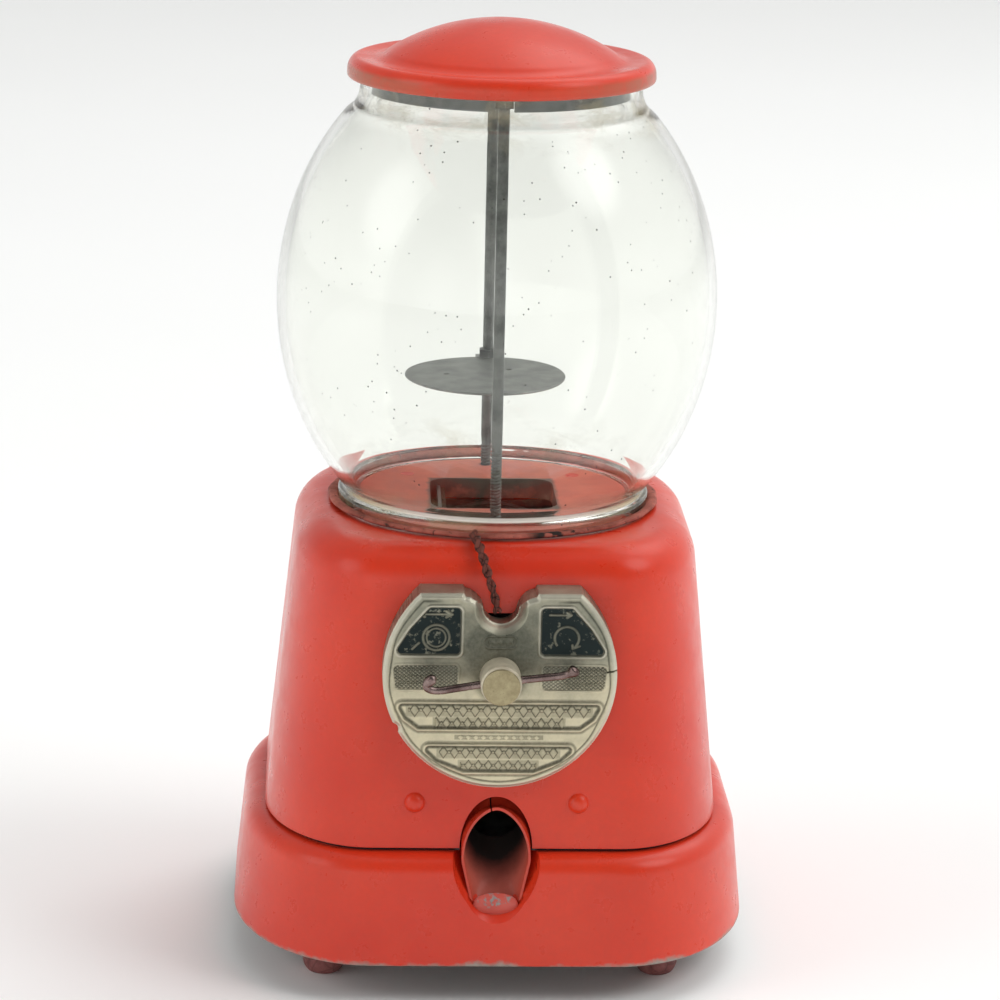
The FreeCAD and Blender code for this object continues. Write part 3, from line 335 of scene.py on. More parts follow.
def clear_glass():
    """Old clear glass with dark specks and yellowed dirt at neck and foot, and a painted reflection: a light line
    across the front of the foot.
    """
    p = Paint("clear_glass", Transmission_Weight=1.0, IOR=1.47, Base_Color=(0.975, 0.985, 0.955, 1.0),
              Specular_IOR_Level=0.5)

    def over(share, top, under):
        return p.node("MixShader", 0, {0: share, 1: under, 2: top})

    def film(colour, rough):
        return p.node("BsdfPrincipled", 0, {"Base Color": colour, "Roughness": rough})

    height = p.axis("Z")
    smear = p.noise(45.0, 7.0, 0.72, 0.4, (1.0, 1.0, 2.2)).step(0.5, 0.78)
    dirt = (height.step(0.322, 0.336) * 0.8).most(height.step(0.199, 0.18) * 0.55) * smear
    dirt = dirt + p.noise(9.0, 3.0).step(0.6, 0.85, 0.0, 0.05)
    specks = p.cells(165.0).step(0.07, 0.04) * p.noise(31.0, 1.0).step(0.5, 0.54)
    # painted reflection: a light band along the front of the foot, white in the middle and yellowish towards the sides
    edge = height.step(0.1811, 0.1816) * height.step(0.1836, 0.183)
    edge = edge * p.axis("Y").step(-0.012, -0.034, 0.0, 0.85)
    foot_reflection = p.mix(abs(p.axis("X")).step(0.03, 0.056), (0.93, 0.93, 0.86), (0.62, 0.52, 0.29))
    through = p.node("BsdfTransparent", 0, {"Color": (0.97, 0.975, 0.95, 1.0)})
    in_shadow = p.node("LightPath", "Is Shadow Ray")
    glass = over(in_shadow, through, Signal(p, p.shader.outputs[0]))
    glass = over(dirt * 0.6, film((0.6, 0.52, 0.32, 1.0), 0.7), glass)
    glass = over(specks, film((0.03, 0.025, 0.02, 1.0), 0.6), glass)
    glass = over(edge, film(foot_reflection, 0.3), glass)
    p.feed(p.tree.nodes["Material Output"].inputs["Surface"], glass)
    p.set("Roughness", p.noise(60.0, 5.0, 0.7).step(0.55, 0.85, 0.0, 0.1))
    p.bump(p.noise(11.0, 1.0), 0.5, 0.2)
    return p.material


def aged_nickel():
    """Nickel plating gone grey-green in the hollows, with painted shade, grey-green, above the handle and painted
    light, yellow, below it.
    """
    p = Paint("aged_nickel", Metallic=0.85)
    hollow, raised, dark = (p.attribute(name) for name in ("hollow", "raised", "dark"))
    cloud = p.noise(70.0, 7.0, 0.65)
    grain = p.noise(700.0, 4.0, 0.6)
    # painted shade above the handle and painted light below it: darker grey-green at the top of the plate, lighter
    # yellow at the bottom
    above = p.axis("Z").step((SHAFT_Z - 12.0) * MM, (SHAFT_Z + 8.0) * MM)
    flakes = p.noise(330.0, 5.0, 0.7).step(0.56, 0.64, 1.0, 0.25)
    colour = p.mix(cloud.step(0.32, 0.7), (0.25, 0.235, 0.175), (0.7, 0.64, 0.465))
    colour = p.layers(colour, (grain.step(0.35, 0.75, 0.0, 0.35), (0.6, 0.57, 0.47)),
                      (above * cloud.step(0.25, 0.7, 0.75, 0.35), (0.205, 0.215, 0.17)),
                      (above * -0.4 + 0.4, (0.86, 0.77, 0.52)),
                      (hollow * grain.step(0.2, 0.8, 1.0, 0.6), (0.034, 0.04, 0.03)),
                      (raised * cloud.step(0.25, 0.65, 0.55, 1.0), (0.62, 0.59, 0.48)),
                      (dark * flakes, (0.018, 0.026, 0.026)))
    rough = cloud.step(0.3, 0.7, 0.34, 0.52) + hollow * 0.2
    return p.finished(colour, rough, grain + cloud * 2.0, 0.1, 0.45)


def plain_metal(name, low, high, metallic, rough, scale=120.0):
    """Dull plated, oiled or cast metal: two tones in clouds, with fine grain."""
    p = Paint(name, Metallic=metallic)
    cloud = p.noise(scale, 6.0, 0.65)
    return p.finished(p.mix(cloud.step(0.33, 0.68), low, high), cloud.step(0.3, 0.7, rough, rough + 0.18),
                      p.noise(scale * 7.0, 3.0) + cloud, 0.06, 0.4)


def brass():
    """Turned brass face, tarnished in clouds and nicked."""
    p = Paint("brass", Metallic=0.9)
    cloud = p.noise(240.0, 7.0, 0.7)
    nicks = p.cells(900.0).step(0.18, 0.08)
    colour = p.mix(cloud.step(0.3, 0.7), (0.25, 0.205, 0.115), (0.46, 0.395, 0.24))
    colour = p.mix(nicks * 0.6, colour, (0.13, 0.1, 0.05))
    return p.finished(colour, cloud.step(0.3, 0.7, 0.3, 0.46), p.noise(1500.0, 3.0) - nicks * 0.5, 0.05, 0.5)


def old_rubber(name, low, high, rough, cracks, crack_scale):
    """Perished rubber: dull, blotched, with fine cracks."""
    p = Paint(name, Specular_IOR_Level=0.35)
    cloud = p.noise(150.0, 6.0, 0.7)
    crack = p.cells(crack_scale, "DISTANCE_TO_EDGE").step(0.07, 0.01) * cracks
    colour = p.mix(crack, p.mix(cloud.step(0.35, 0.68), low, high), (0.02, 0.008, 0.006))
    height = p.noise(500.0, 4.0) - crack * 2.0
    return p.finished(colour, cloud.step(0.3, 0.7, rough, rough + 0.2), height, 0.25, 0.6)


def felt(name, low, high):
    """Pressed fibres: felt, or bristles when the colours are dark."""
    p = Paint(name, Specular_IOR_Level=0.2)
    fibres = p.noise(900.0, 6.0, 0.8, 0.6, (1.0, 1.0, 0.25))
    return p.finished(p.mix(fibres.step(0.3, 0.7), low, high), 0.95, fibres, 0.3, 0.8)


def faded_gasket():
    """Red rubber faded on top and split at its outer edge, with painted shade, black, along its lower edge where it
    meets the body.
    """
    p = Paint("faded_gasket", Specular_IOR_Level=0.3)
    colour = p.mix(p.noise(110.0, 6.0, 0.7).step(0.35, 0.66), (0.2, 0.05, 0.034), (0.46, 0.135, 0.1))
    split = p.noise(260.0, 3.0, 0.6, 1.5).step(0.62, 0.68)
    # painted shade: black along the band's lower edge, where it meets the body
    low = (p.axis("Z") + p.noise(300.0) * 0.0008).step(0.17705, 0.17655)
    right = p.spot((22.0, -62.0, 176.8), (16.0, 8.0, 4.0))
    worn = right.step(0.1, 0.5) * p.noise(190.0, 4.0).step(0.44, 0.5)
    colour = p.mix(low.most(split).most(worn), colour, (0.018, 0.012, 0.01))
    return p.finished(colour, 0.7, p.noise(400.0, 4.0) - split * 2.0, 0.3, 0.6)


def chute_enamel():
    """The chute's enamel, turning brown a little way inside, with painted shade, black, further in."""
    p = Paint("chute_enamel", Coat_Weight=0.2, Coat_Roughness=0.2)
    cloud = p.noise(160.0, 5.0, 0.65)
    inside = p.attribute("inside")
    depth = p.axis("Y") * -CHUTE_FACE.y - p.axis("Z") * CHUTE_FACE.z
    depth = depth + CHUTE_MID.dot(CHUTE_FACE) * MM + (cloud - 0.5) * 0.004
    colour = p.mix(cloud.step(0.35, 0.68), (0.52, 0.03, 0.012), (0.62, 0.05, 0.02))
    # inside the tube the colour turns brown a few millimetres in, then black further in as painted shade
    colour = p.layers(colour, (inside * depth.step(-0.001, 0.005, 0.25, 0.92), (0.46, 0.1, 0.068)),
                      (inside * depth.step(0.006, 0.015), (0.006, 0.005, 0.004)))
    rough = cloud.step(0.3, 0.7, 0.25, 0.4) + inside * 0.3
    return p.finished(colour, rough, p.noise(420.0, 4.0), 0.1, 0.3)


def worn_tongue():
    """Enamel rubbed through to grey metal where hands and nuts wear it."""
    p = Paint("worn_tongue", Specular_IOR_Level=0.5)
    red = p.mix(p.noise(120.0, 4.0), (0.42, 0.045, 0.03), (0.6, 0.1, 0.075))
    grey = p.mix(p.noise(500.0, 4.0), (0.13, 0.12, 0.115), (0.36, 0.34, 0.32))
    middle = p.spot((-0.8, -96.5, 42.5), (9.0, 12.0, 5.0))
    worn = p.noise(260.0, 7.0, 0.7, 0.3).step(0.51, 0.57) * middle.step(0.05, 0.35)
    rough = worn.step(0.0, 1.0, 0.34, 0.5)
    return p.finished(p.mix(worn, red, grey), rough, p.noise(300.0, 3.0) - worn * 0.8, 0.12, 0.6)


def studio_white():
    p = Paint("studio_white", Roughness=0.65, Specular_IOR_Level=0.2)
    p.set("Base Color", p.mix(p.noise(2.0, 2.0), (0.9, 0.905, 0.9), (0.925, 0.93, 0.925)))
    return p.material


METALS = {                   # dark tone, light tone, how metallic, roughness, and the clouds' scale
    "oily_dark": ((0.01, 0.008, 0.007), (0.045, 0.036, 0.03), 0.3, 0.5),
    "steel": ((0.085, 0.09, 0.086), (0.235, 0.243, 0.233), 0.9, 0.36),
    "hub_brass": ((0.42, 0.37, 0.27), (0.66, 0.6, 0.46), 0.35, 0.4),
    "zinc_plate": ((0.19, 0.2, 0.19), (0.39, 0.4, 0.385), 0.9, 0.4),
    "dark_steel": ((0.04, 0.036, 0.032), (0.12, 0.11, 0.1), 0.8, 0.4),
    "bronze": ((0.26, 0.15, 0.07), (0.46, 0.3, 0.15), 0.9, 0.35),
    "handle_steel": ((0.11, 0.065, 0.06), (0.36, 0.27, 0.25), 1.0, 0.16, 160.0),
    "drum_alloy": ((0.06, 0.055, 0.05), (0.2, 0.19, 0.175), 0.7, 0.45),
}
RUBBERS = {                  # dark tone, light tone, roughness, depth of the cracks and their scale
    "bumper_rubber": ((0.15, 0.042, 0.04), (0.33, 0.125, 0.115), 0.42, 0.3, 160.0),
    "gasket_cord": ((0.075, 0.02, 0.014), (0.21, 0.058, 0.04), 0.55, 1.0, 330.0),
}
FELTS = {
    "felt": ((0.16, 0.14, 0.11), (0.34, 0.31, 0.26)),
    "bristle": ((0.02, 0.016, 0.012), (0.1, 0.075, 0.05)),
}


def make_materials():
    made = {"red_enamel": red_enamel(), "hopper_enamel": hopper_enamel(), "clear_glass": clear_glass(),
            "aged_nickel": aged_nickel(), "brass": brass()}
    for make, table in ((plain_metal, METALS), (old_rubber, RUBBERS), (felt, FELTS)):
        for name, values in table.items():
            made[name] = make(name, *values)
    return made


# ---- mesh helpers ----
def point_outwards(mesh, weld=0.0):
    work = bmesh.new()
    work.from_mesh(mesh)
    if weld:
        bmesh.ops.remove_doubles(work, verts=work.verts, dist=weld * MM)
    bmesh.ops.recalc_face_normals(work, faces=work.faces)
    work.to_mesh(mesh)
    work.free()


def linked(name, mesh):
    made = bpy.data.objects.new(name, mesh)
    bpy.context.scene.collection.objects.link(made)
    return made


def new_object(name, points, faces):
    """A mesh object from points in millimetres, its scale applied."""
    mesh = bpy.data.meshes.new(name)
    mesh.from_pydata([Vector(p) * MM for p in points], [], faces)
    point_outwards(mesh, 0.004)
    return linked(name, mesh)


def place(piece, body, slot_name, nodes, sharp=32.0, material=None):
    """Smooth shading with hard edges where they are, a material, and the CAD body and nodes it stands for."""
    piece.data.shade_smooth()
    piece.data.set_sharp_from_angle(angle=radians(sharp))
    piece.data.materials.clear()
    piece.data.materials.append(material or materials[slot_name])
    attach(piece, body)
    if nodes:
        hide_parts(*nodes)
    return piece


def boolean(piece, *tools, operation="DIFFERENCE"):
    """Cuts tools out of a piece, or joins them with it, and removes the tools."""
    for tool in tools:
        change = piece.modifiers.new("shape", "BOOLEAN")
        change.operation = operation
        change.solver = "EXACT"
        change.object = tool
        graph = bpy.context.evaluated_depsgraph_get()
        made = bpy.data.meshes.new_from_object(piece.evaluated_get(graph))
        piece.modifiers.clear()
        piece.data = made
        bpy.data.objects.remove(tool)


def circle(count):
    """Angles evenly round a circle."""
    return [2 * pi * k / count for k in range(count)]


def lofted(rings, closed=False, capped=False):
    """Quads between rings that have the same number of points; closed joins the last ring to the first."""
    count = len(rings[0])
    points = [p for ring in rings for p in ring]
    faces = []
    for i in range(len(rings) if closed else len(rings) - 1):
        a = i * count
        b = (i + 1) % len(rings) * count
        for k in range(count):
            m = (k + 1) % count
            faces.append((a + k, a + m, b + m, b + k))
    if capped:
        faces += [tuple(range(count))[::-1], tuple(range(len(points) - count, len(points)))]
    return points, faces


def turned(profile, segments, centre=(0.0, 0.0), closed=True):
    """Rings of a profile of (radius, height) turned round a vertical axis."""
    x, y = centre
    rings = [[(x + r * cos(a), y + r * sin(a), z) for a in circle(segments)] for r, z in profile]
    return lofted(rings, closed)


def rounded(points, closed=True, steps=5):
    """An outline with rounded corners. Each point is (across, up, radius)."""
    result = []
    count = len(points)
    for i, (x, z, r) in enumerate(points):
        here = Vector((x, z))
        if r == 0 or (not closed and i in (0, count - 1)):
            result.append((x, z))
            continue
        before = Vector(points[i - 1][:2]) - here
        after = Vector(points[(i + 1) % count][:2]) - here
        a = here + before.normalized() * min(r, before.length / 2)
        b = here + after.normalized() * min(r, after.length / 2)
        for t in (k / steps for k in range(steps + 1)):
            result.append(tuple(a * (1 - t) ** 2 + here * 2 * t * (1 - t) + b * t * t))
    return result


def hoop(middle, side, other, r, count):
    return [middle + (side * cos(a) + other * sin(a)) * r for a in circle(count)]


def cylinder(r, start, end, segments=96):
    """A closed cylinder between two points, used as a cutting tool."""
    axis = (Vector(end) - Vector(start)).normalized()
    side = axis.orthogonal().normalized()
    rings = [hoop(Vector(at), side, axis.cross(side), r, segments) for at in (start, end)]
    return new_object("cylinder", *lofted(rings, capped=True))


def block(low, high, lean=0.0, about=(0, 0, 0)):
    """A box between two corners, leaning about X through a point."""
    turn = Matrix.Rotation(lean, 3, "X")
    pivot = Vector(about)
    points = [turn @ (Vector((x, y, z)) - pivot) + pivot
              for x in (low[0], high[0]) for y in (low[1], high[1]) for z in (low[2], high[2])]
    faces = [(0, 1, 3, 2), (4, 6, 7, 5), (0, 4, 5, 1), (2, 3, 7, 6), (0, 2, 6, 4), (1, 5, 7, 3)]
    return new_object("block", points, faces)


# ---- the rounded square of base and body ----
CORNER_STEPS = 22
SIDE_STEPS = 12
FRONT_STEPS = 28
BEND_STEPS = 12


def outline(half, corner, inset, z):
    """One ring of the rounded square, moved in along its own normals by inset."""
    rx, ry = corner
    quarters = []
    for sx, sy, turned_back in ((1, 1, False), (-1, 1, True), (-1, -1, False), (1, -1, True)):
        quarter = []
        for k in range(CORNER_STEPS + 1):
            a = pi / 2 * k / CORNER_STEPS
            nx, ny = cos(a) / rx, sin(a) / ry
            size = hypot(nx, ny)
            x = half - rx + rx * cos(a) - inset * nx / size
            y = half - ry + ry * sin(a) - inset * ny / size
            quarter.append(Vector((sx * x, sy * y, z)))
        quarters.append(quarter[::-1] if turned_back else quarter)
    ring = []
    for i, quarter in enumerate(quarters):
        after = quarters[(i + 1) % 4][0]
        steps = SIDE_STEPS if i % 2 else FRONT_STEPS
        ring += quarter + [quarter[-1].lerp(after, k / steps) for k in range(1, steps)]
    return ring


def mouth_ring(z):
    return outline(MOUTH_HALF, MOUTH_CORNER, 0.0, z)


def to_circle(ring, r, z):
    angles = [atan2(p.y, p.x) for p in ring]
    return [Vector((r * cos(a), r * sin(a), z)) for a in angles]


def wall_rings(half, slope, corner, low, top, radius, wall=0.0, start=0.0, rows=8):
    """Rings up a leaning wall and round its top edge. wall moves the whole skin inwards and down."""
    lean = atan(slope)
    r = radius - wall
    high = top - wall

    def ring(z, extra):
        wide = half - (z - low) * slope
        share = wide / half
        return outline(wide, (corner[0] * share, corner[1] * share), wall + extra, z)

    begin = low + start
    bend = high - r + r * sin(lean)
    rings = [ring(begin + (bend - begin) * k / rows, 0.0) for k in range(rows)]
    for k in range(BEND_STEPS + 1):
        a = lean + (pi / 2 - lean) * k / BEND_STEPS
        z = high - r + r * sin(a)
        rings.append(ring(z, r * cos(lean) - r * cos(a) + (bend - z) * slope))
    return rings


def body_front(z):
    """How far in front of the middle the body's leaning wall stands."""
    return BODY_HALF - (z - SEAM) * BODY_SLOPE


def chute_tool(r, lift=0.0):
    middle = CHUTE_MID + UP * lift
    return cylinder(r, middle - CHUTE_AXIS * 40, middle + CHUTE_AXIS * 50)


COLLAR_START = 116.0         # degrees from the bore's top
COLLAR_SWEEP = 128.0
COLLAR_STEPS = 48
COLLAR_LONG = 14.0
COLLAR_THICK = 1.0
COLLAR_SUNK = 0.8            # behind the base's front


def make_collar():
    """The wall of the recess that the chute comes out of."""
    middle = CHUTE_MID + UP * BORE_LIFT
    rings = []
    for r, start, end in ((BORE_R, 0.0, COLLAR_LONG), (BORE_R + COLLAR_THICK, COLLAR_LONG, 0.0)):
        for share in (0.0, 0.5, 1.0):
            ring = []
            for k in range(COLLAR_STEPS + 1):
                a = radians(COLLAR_START + COLLAR_SWEEP * k / COLLAR_STEPS)
                at = middle + CHUTE_UP * cos(a) * r + ACROSS * sin(a) * r
                wall = COLLAR_SUNK - BASE_HALF + (at.z - BASE_BOTTOM) * BASE_SLOPE
                ring.append(at + CHUTE_AXIS * ((wall - at.y) / CHUTE_AXIS.y + start + (end - start) * share))
            rings.append(ring)
    piece = new_object("chute_recess", *lofted([list(line) for line in zip(*rings)], capped=True))
    boolean(piece, chute_tool(CHUTE_R + CHUTE_GAP))
    place(piece, "root", "red_enamel", [], 40.0)


def make_base():
    """The wide skirt: turned hem, leaning wall, rounded shoulder, and the hollow that holds the coins."""
    wall = (BASE_HALF, BASE_SLOPE, BASE_CORNER, BASE_BOTTOM, SEAM, BASE_ROUND)
    hem = [outline(BASE_HALF, BASE_CORNER, inset, BASE_BOTTOM + rise)
           for inset, rise in ((1.5, 0.0), (0.55, 0.2), (0.1, 0.7))]
    mouth = [mouth_ring(SEAM), mouth_ring(SEAM - BASE_WALL)]
    rings = hem + wall_rings(*wall, 0.0, 1.4) + mouth + wall_rings(*wall, BASE_WALL)[::-1]
    piece = new_object("base_casting", *lofted(rings, closed=True))
    boolean(piece, chute_tool(BORE_R, BORE_LIFT), chute_tool(CHUTE_R + CHUTE_GAP))
    for _, x, y in FEET:
        boss = cylinder(BOSS_R, (x, y, BASE_BOTTOM), (x, y, BASE_BOTTOM + BOSS_HIGH), 48)
        boolean(piece, boss, operation="UNION")
    place(piece, "root", "red_enamel", ["base"])


def make_body():
    """The tapered casing, with its rounded shoulder, chute hole, coin opening and cash door opening."""
    wall = (BODY_HALF, BODY_SLOPE, BODY_CORNER, SEAM, BODY_TOP, BODY_ROUND)
    outer = wall_rings(*wall, 0.0, 2.0, 12)
    edge = [outline(BODY_HALF, BODY_CORNER, inset, SEAM + rise)
            for inset, rise in ((2.3, 0.02), (2.3, 1.15), (0.55, 1.25), (0.22, 1.5))]
    hole = [to_circle(outer[-1], BODY_HOLE_R, z) for z in (BODY_TOP, BODY_TOP - BODY_WALL)]
    mouth = [mouth_ring(SEAM + MOUTH_RISE), mouth_ring(SEAM + 0.02)]
    rings = edge + outer + hole + wall_rings(*wall, BODY_WALL, MOUTH_RISE)[::-1] + mouth
    piece = new_object("body_casing", *lofted(rings, closed=True))
    boolean(piece, chute_tool(CHUTE_HOLE_R), block((-1.2, -110, 60), (1.2, -75, 76.4)),
            block((-0.5, -110, 60), (0.5, -75, 77.3)), block((-16, -95, 103), (16, -70, 151.2)))
    rear = body_front(DOOR_Z)
    wide, tall = DOOR_HALF
    boolean(piece, block((-wide, rear - 8, DOOR_Z - tall), (wide, rear + 4, DOOR_Z + tall),
                         atan(BODY_SLOPE), (0, rear, DOOR_Z)))
    for y in (-ROD_Y, ROD_Y):
        boolean(piece, cylinder(ROD_HOLE_R, (ROD_X, y, BODY_TOP - 6), (ROD_X, y, BODY_TOP + 1), 32))
    place(piece, "root", "red_enamel", ["body_shell"])


# ---- glass and lid ----
GLASS_MIDDLE = 257.0
GLASS_LOW = 183.0
GLASS_FLOOR = 184.5
GLASS_HIGH = 331.0
GLASS_STEPS = 64
LID_DOME_R = 46.5
LID_DOME_Z = 352.8
LID_FLANGE = 352.4
LID_SHEET = 1.2
LID_STEPS = 29


def glass_curve(half, rise, low):
    """An ellipse's right side, from a height up to the neck."""
    heights = [low + (GLASS_HIGH - low) * k / GLASS_STEPS for k in range(GLASS_STEPS + 1)]
    return [(half * sqrt(1 - ((z - GLASS_MIDDLE) / rise) ** 2), z) for z in heights]


def make_globe():
    """Blown glass: an egg-shaped wall with a straight neck and a moulded foot ring."""
    outer = glass_curve(86.6, 103.0, GLASS_LOW)
    inner = glass_curve(83.2, 99.6, GLASS_FLOOR)[::-1]
    foot_in, foot_out = inner[-1][0], outer[0][0]
    neck = rounded([(outer[-1][0], GLASS_HIGH, 0), (57.0, 333.6, 2.5), (54.9, 338.5, 3.0), (54.9, 346.5, 1.0),
                    (51.2, 346.5, 0.8), (51.2, 338.0, 3.0), (52.9, 333.8, 2.5), (inner[0][0], GLASS_HIGH, 0)],
                   False, 6)
    foot = rounded([(foot_in, GLASS_FLOOR, 0), (foot_in - 0.8, 175.55, 0.6), (61.6, 175.55, 1.2),
                    (61.8, 180.4, 1.3), (foot_out - 0.6, 181.6, 1.0), (foot_out, GLASS_LOW, 0)], False, 6)
    piece = new_object("glass_globe", *turned(outer + neck[1:-1] + inner + foot[1:-1], 192))
    place(piece, "globe", "clear_glass", ["globe"], 50.0)


def make_lid():
    """Pressed sheet lid: dome, flat shoulder, raised bead and rolled rim, with its underside."""
    top = lid_high.z
    low = lid_low.z
    rise = top - LID_DOME_Z
    sphere = (LID_DOME_R ** 2 + rise ** 2) / (2 * rise)
    radii = [LID_DOME_R * k / LID_STEPS for k in range(LID_STEPS)]
    dome = [(r, top - sphere + sqrt(sphere ** 2 - r ** 2)) for r in radii]
    rim = rounded([(LID_DOME_R - 1.2, 353.4, 0), (48.8, 351.5, 2.4), (53.6, 352.0, 2.0),
                   (57.4, LID_FLANGE, 2.4), (59.9, 349.3, 2.4), (60.08, 345.2, 0.8), (59.6, low, 0.7),
                   (58.6, low + 0.15, 0.6), (58.7, 348.6, 2.0), (56.6, LID_FLANGE - LID_SHEET, 2.0), (49.0, 350.2, 2.0),
                   (LID_DOME_R - 1.6, 351.9, 0)], False, 6)
    under = [(r * 0.965, z - LID_SHEET) for r, z in dome[::-1]]
    piece = new_object("lid_pressing", *turned(dome + rim + under, 160, closed=False))
    place(piece, "lid", "red_enamel", ["lid_cap"], 45.0)


def make_baffle():
    """Thin zinc-plated disc on the rear rod, slightly dished and nicked at its edge."""
    radius = (disc_high.x - disc_low.x) / 2
    cx, cy = (disc_low.x + disc_high.x) / 2, disc_low.y + radius
    low, high = disc_low.z, disc_high.z
    half = [(radius * 0.5, 0.0), (radius - 0.25, 0.0), (radius, 0.3)]
    profile = [(0.0, low)] + [(r, low + z) for r, z in half]
    profile += [(r, high - z) for r, z in half[::-1]] + [(0.0, high)]
    rings = []
    for r, z in profile:
        ring = []
        for a in circle(120):
            bend = 0.25 * sin(2 * a + 0.7) * (r / radius) ** 2
            edge = 1.0 - 0.004 * (noise.noise(Vector((cos(a) * 3, sin(a) * 3, 1.7))) + 0.5)
            ring.append((cx + r * edge * cos(a), cy + r * edge * sin(a), z + bend))
        rings.append(ring)
    piece = new_object("baffle", *lofted(rings))
    for x, y in ((cx - 15.5, cy), (cx + 10.0, cy + 9.0)):
        boolean(piece, cylinder(1.3, (x, y, low - 2), (x, y, low + 3), 24))
    ear = block((ROD_X - 5, cy + radius - 2.5, low), (ROD_X + 5, disc_high.y, high))
    boolean(piece, ear, operation="UNION")
    place(piece, "lid", "steel", ["baffle_disc"], material=materials["zinc_plate"])


def make_rod(name, node, y, thread_high):
    """Steel tie rod, a little uneven along its length, with a rolled helical thread at its lower end."""
    low, high = corners_mm(node)
    thread = thread_high - THREAD_LOW
    steps = int(thread / THREAD_PITCH * 8)
    heights = [low.z, low.z + 0.4] + [THREAD_LOW + thread * k / steps for k in range(steps + 1)]
    heights += [thread_high + (high.z - 0.4 - thread_high) * k / 40 for k in range(1, 41)] + [high.z]
    rings = []
    for z in heights:
        ring = []
        end = 0.82 if z in (low.z, high.z) else 1.0
        for a in circle(20):
            turn = a / (2 * pi)
            if THREAD_LOW <= z <= thread_high:
                saw = abs(((z / THREAD_PITCH - turn) % 1.0) * 2 - 1)
                r = ROD_R - THREAD_DEPTH + THREAD_DEPTH * min(1.0, saw * 1.5)
            else:
                r = ROD_R * (1.0 - 0.05 * max(0.0, noise.noise(Vector((turn * 2, y, z * 0.09)))))
            ring.append((ROD_X + r * end * cos(a), y + r * end * sin(a), z))
        rings.append(ring)
    place(new_object(name, *lofted(rings, capped=True)), "lid", "steel", [node], 60.0)


# ---- gasket and its loose end ----
TAIL_ROUTE = [(-10.2, -64.8, 178.6), (-9.0, -71.0, 178.0), (-7.3, -77.4, 174.2),
              (-5.1, -82.0, 167.6), (-2.6, -84.6, 160.2), (-1.0, -85.2, 152.6)]
STRAND_R = 1.12
STRAND_PITCH = 11.0
STRAND_APART = 0.86          # from the cord's middle to a strand's


def route_points(name, route):
    """Points along the smooth NURBS curve that has the route as its control points."""
    data = bpy.data.curves.new(name, "CURVE")
    data.dimensions = "3D"
    data.resolution_u = 16
    spline = data.splines.new("NURBS")
    spline.points.add(len(route) - 1)
    for point, at in zip(spline.points, route):
        point.co = (*(Vector(at) * MM), 1.0)
    spline.order_u = 3
    spline.use_endpoint_u = True
    guide = linked(name, data)
    bpy.context.view_layer.update()
    line = bpy.data.meshes.new_from_object(guide.evaluated_get(bpy.context.evaluated_depsgraph_get()))
    points = [v.co.copy() for v in line.vertices]
    bpy.data.objects.remove(guide)
    return points


def frames_along(line, start, carried):
    """Each point of a line, and two directions square to it: from start, or carried from point to point."""
    side = start
    for i, at in enumerate(line):
        along = (line[min(i + 1, len(line) - 1)] - line[max(i - 1, 0)]).normalized()
        side = side if carried else start
        side = (side - along * side.dot(along)).normalized()
        yield at / MM, side, along.cross(side)


def strand_rings(line, phase, fade):
    """One strand wound round the line, its section swelling and pinching like cracked rubber."""
    steps = [0.0] + [(b - a).length / MM for a, b in zip(line, line[1:])]
    total = sum(steps)
    rings = []
    travelled = 0.0
    for i, (at, side, other) in enumerate(frames_along(line, ACROSS, False)):
        travelled += steps[i]
        a = 2 * pi * travelled / STRAND_PITCH + phase
        apart = STRAND_APART + 0.1 * max(0.0, travelled - total + 2)
        middle = at + (side * cos(a) + other * sin(a)) * apart
        swell = 1.0 + 0.16 * noise.noise(Vector((travelled * 0.45, phase * 3, 0.3)))
        swell *= 1.0 - 0.22 * max(0.0, sin(travelled * 1.9 + phase)) ** 6
        if travelled > total * 0.62:
            swell *= fade
        if i in (0, len(line) - 1):
            swell *= 0.45
        ring = []
        for b in circle(14):
            at_skin = Vector((cos(b) * 1.6, sin(b) * 1.6 + phase, travelled * 0.8))
            rough = 1.0 + 0.1 * noise.noise(at_skin)
            ring.append(middle + (side * cos(b) + other * sin(b)) * STRAND_R * swell * rough)
        rings.append(ring)
    return rings


def make_tail():
    """The gasket's loose end: two perished strands twisted together, frayed at the tip."""
    line = route_points("tail_route", TAIL_ROUTE)
    points, faces = [], []
    for phase, fade in ((0.4, 0.92), (0.4 + pi, 0.78)):
        more, quads = lofted(strand_rings(line, phase, fade), capped=True)
        faces += [tuple(i + len(points) for i in quad) for quad in quads]
        points += more
    piece = new_object("gasket_loose_end", points, faces)
    place(piece, "root", "gasket_cord", ["gasket_tail"], 50.0)
    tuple(line[0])


def make_ring():
    """The gasket round the glass foot: a flattened band, lumpy and split, its edge curling up in places."""
    rings = []
    for a in circle(300):
        lump = noise.noise(Vector((cos(a) * 6, sin(a) * 6, 0.5)))
        fine = noise.noise(Vector((cos(a) * 22, sin(a) * 22, 3.1)))
        torn = 1.0 - 0.5 * max(0.0, fine - 0.25)
        wide = (2.0 + 0.45 * lump + 0.3 * fine) * torn
        tall = 0.95 + 0.2 * fine
        ring = []
        for b in circle(12):
            out = GASKET_R + 0.3 * lump + wide * cos(b)
            up = GASKET_Z - 0.1 + tall * sin(b) * (1.15 if cos(b) > 0.3 else 1.0)
            up = max(up, BODY_TOP + (0.1 if out < 62.5 else -0.6))
            ring.append((out * cos(a), out * sin(a), up))
        rings.append(ring)
    piece = new_object("gasket_band", *lofted(rings, closed=True))
    place(piece, "root", "gasket_cord", ["gasket_ring"], 60.0, faded_gasket())


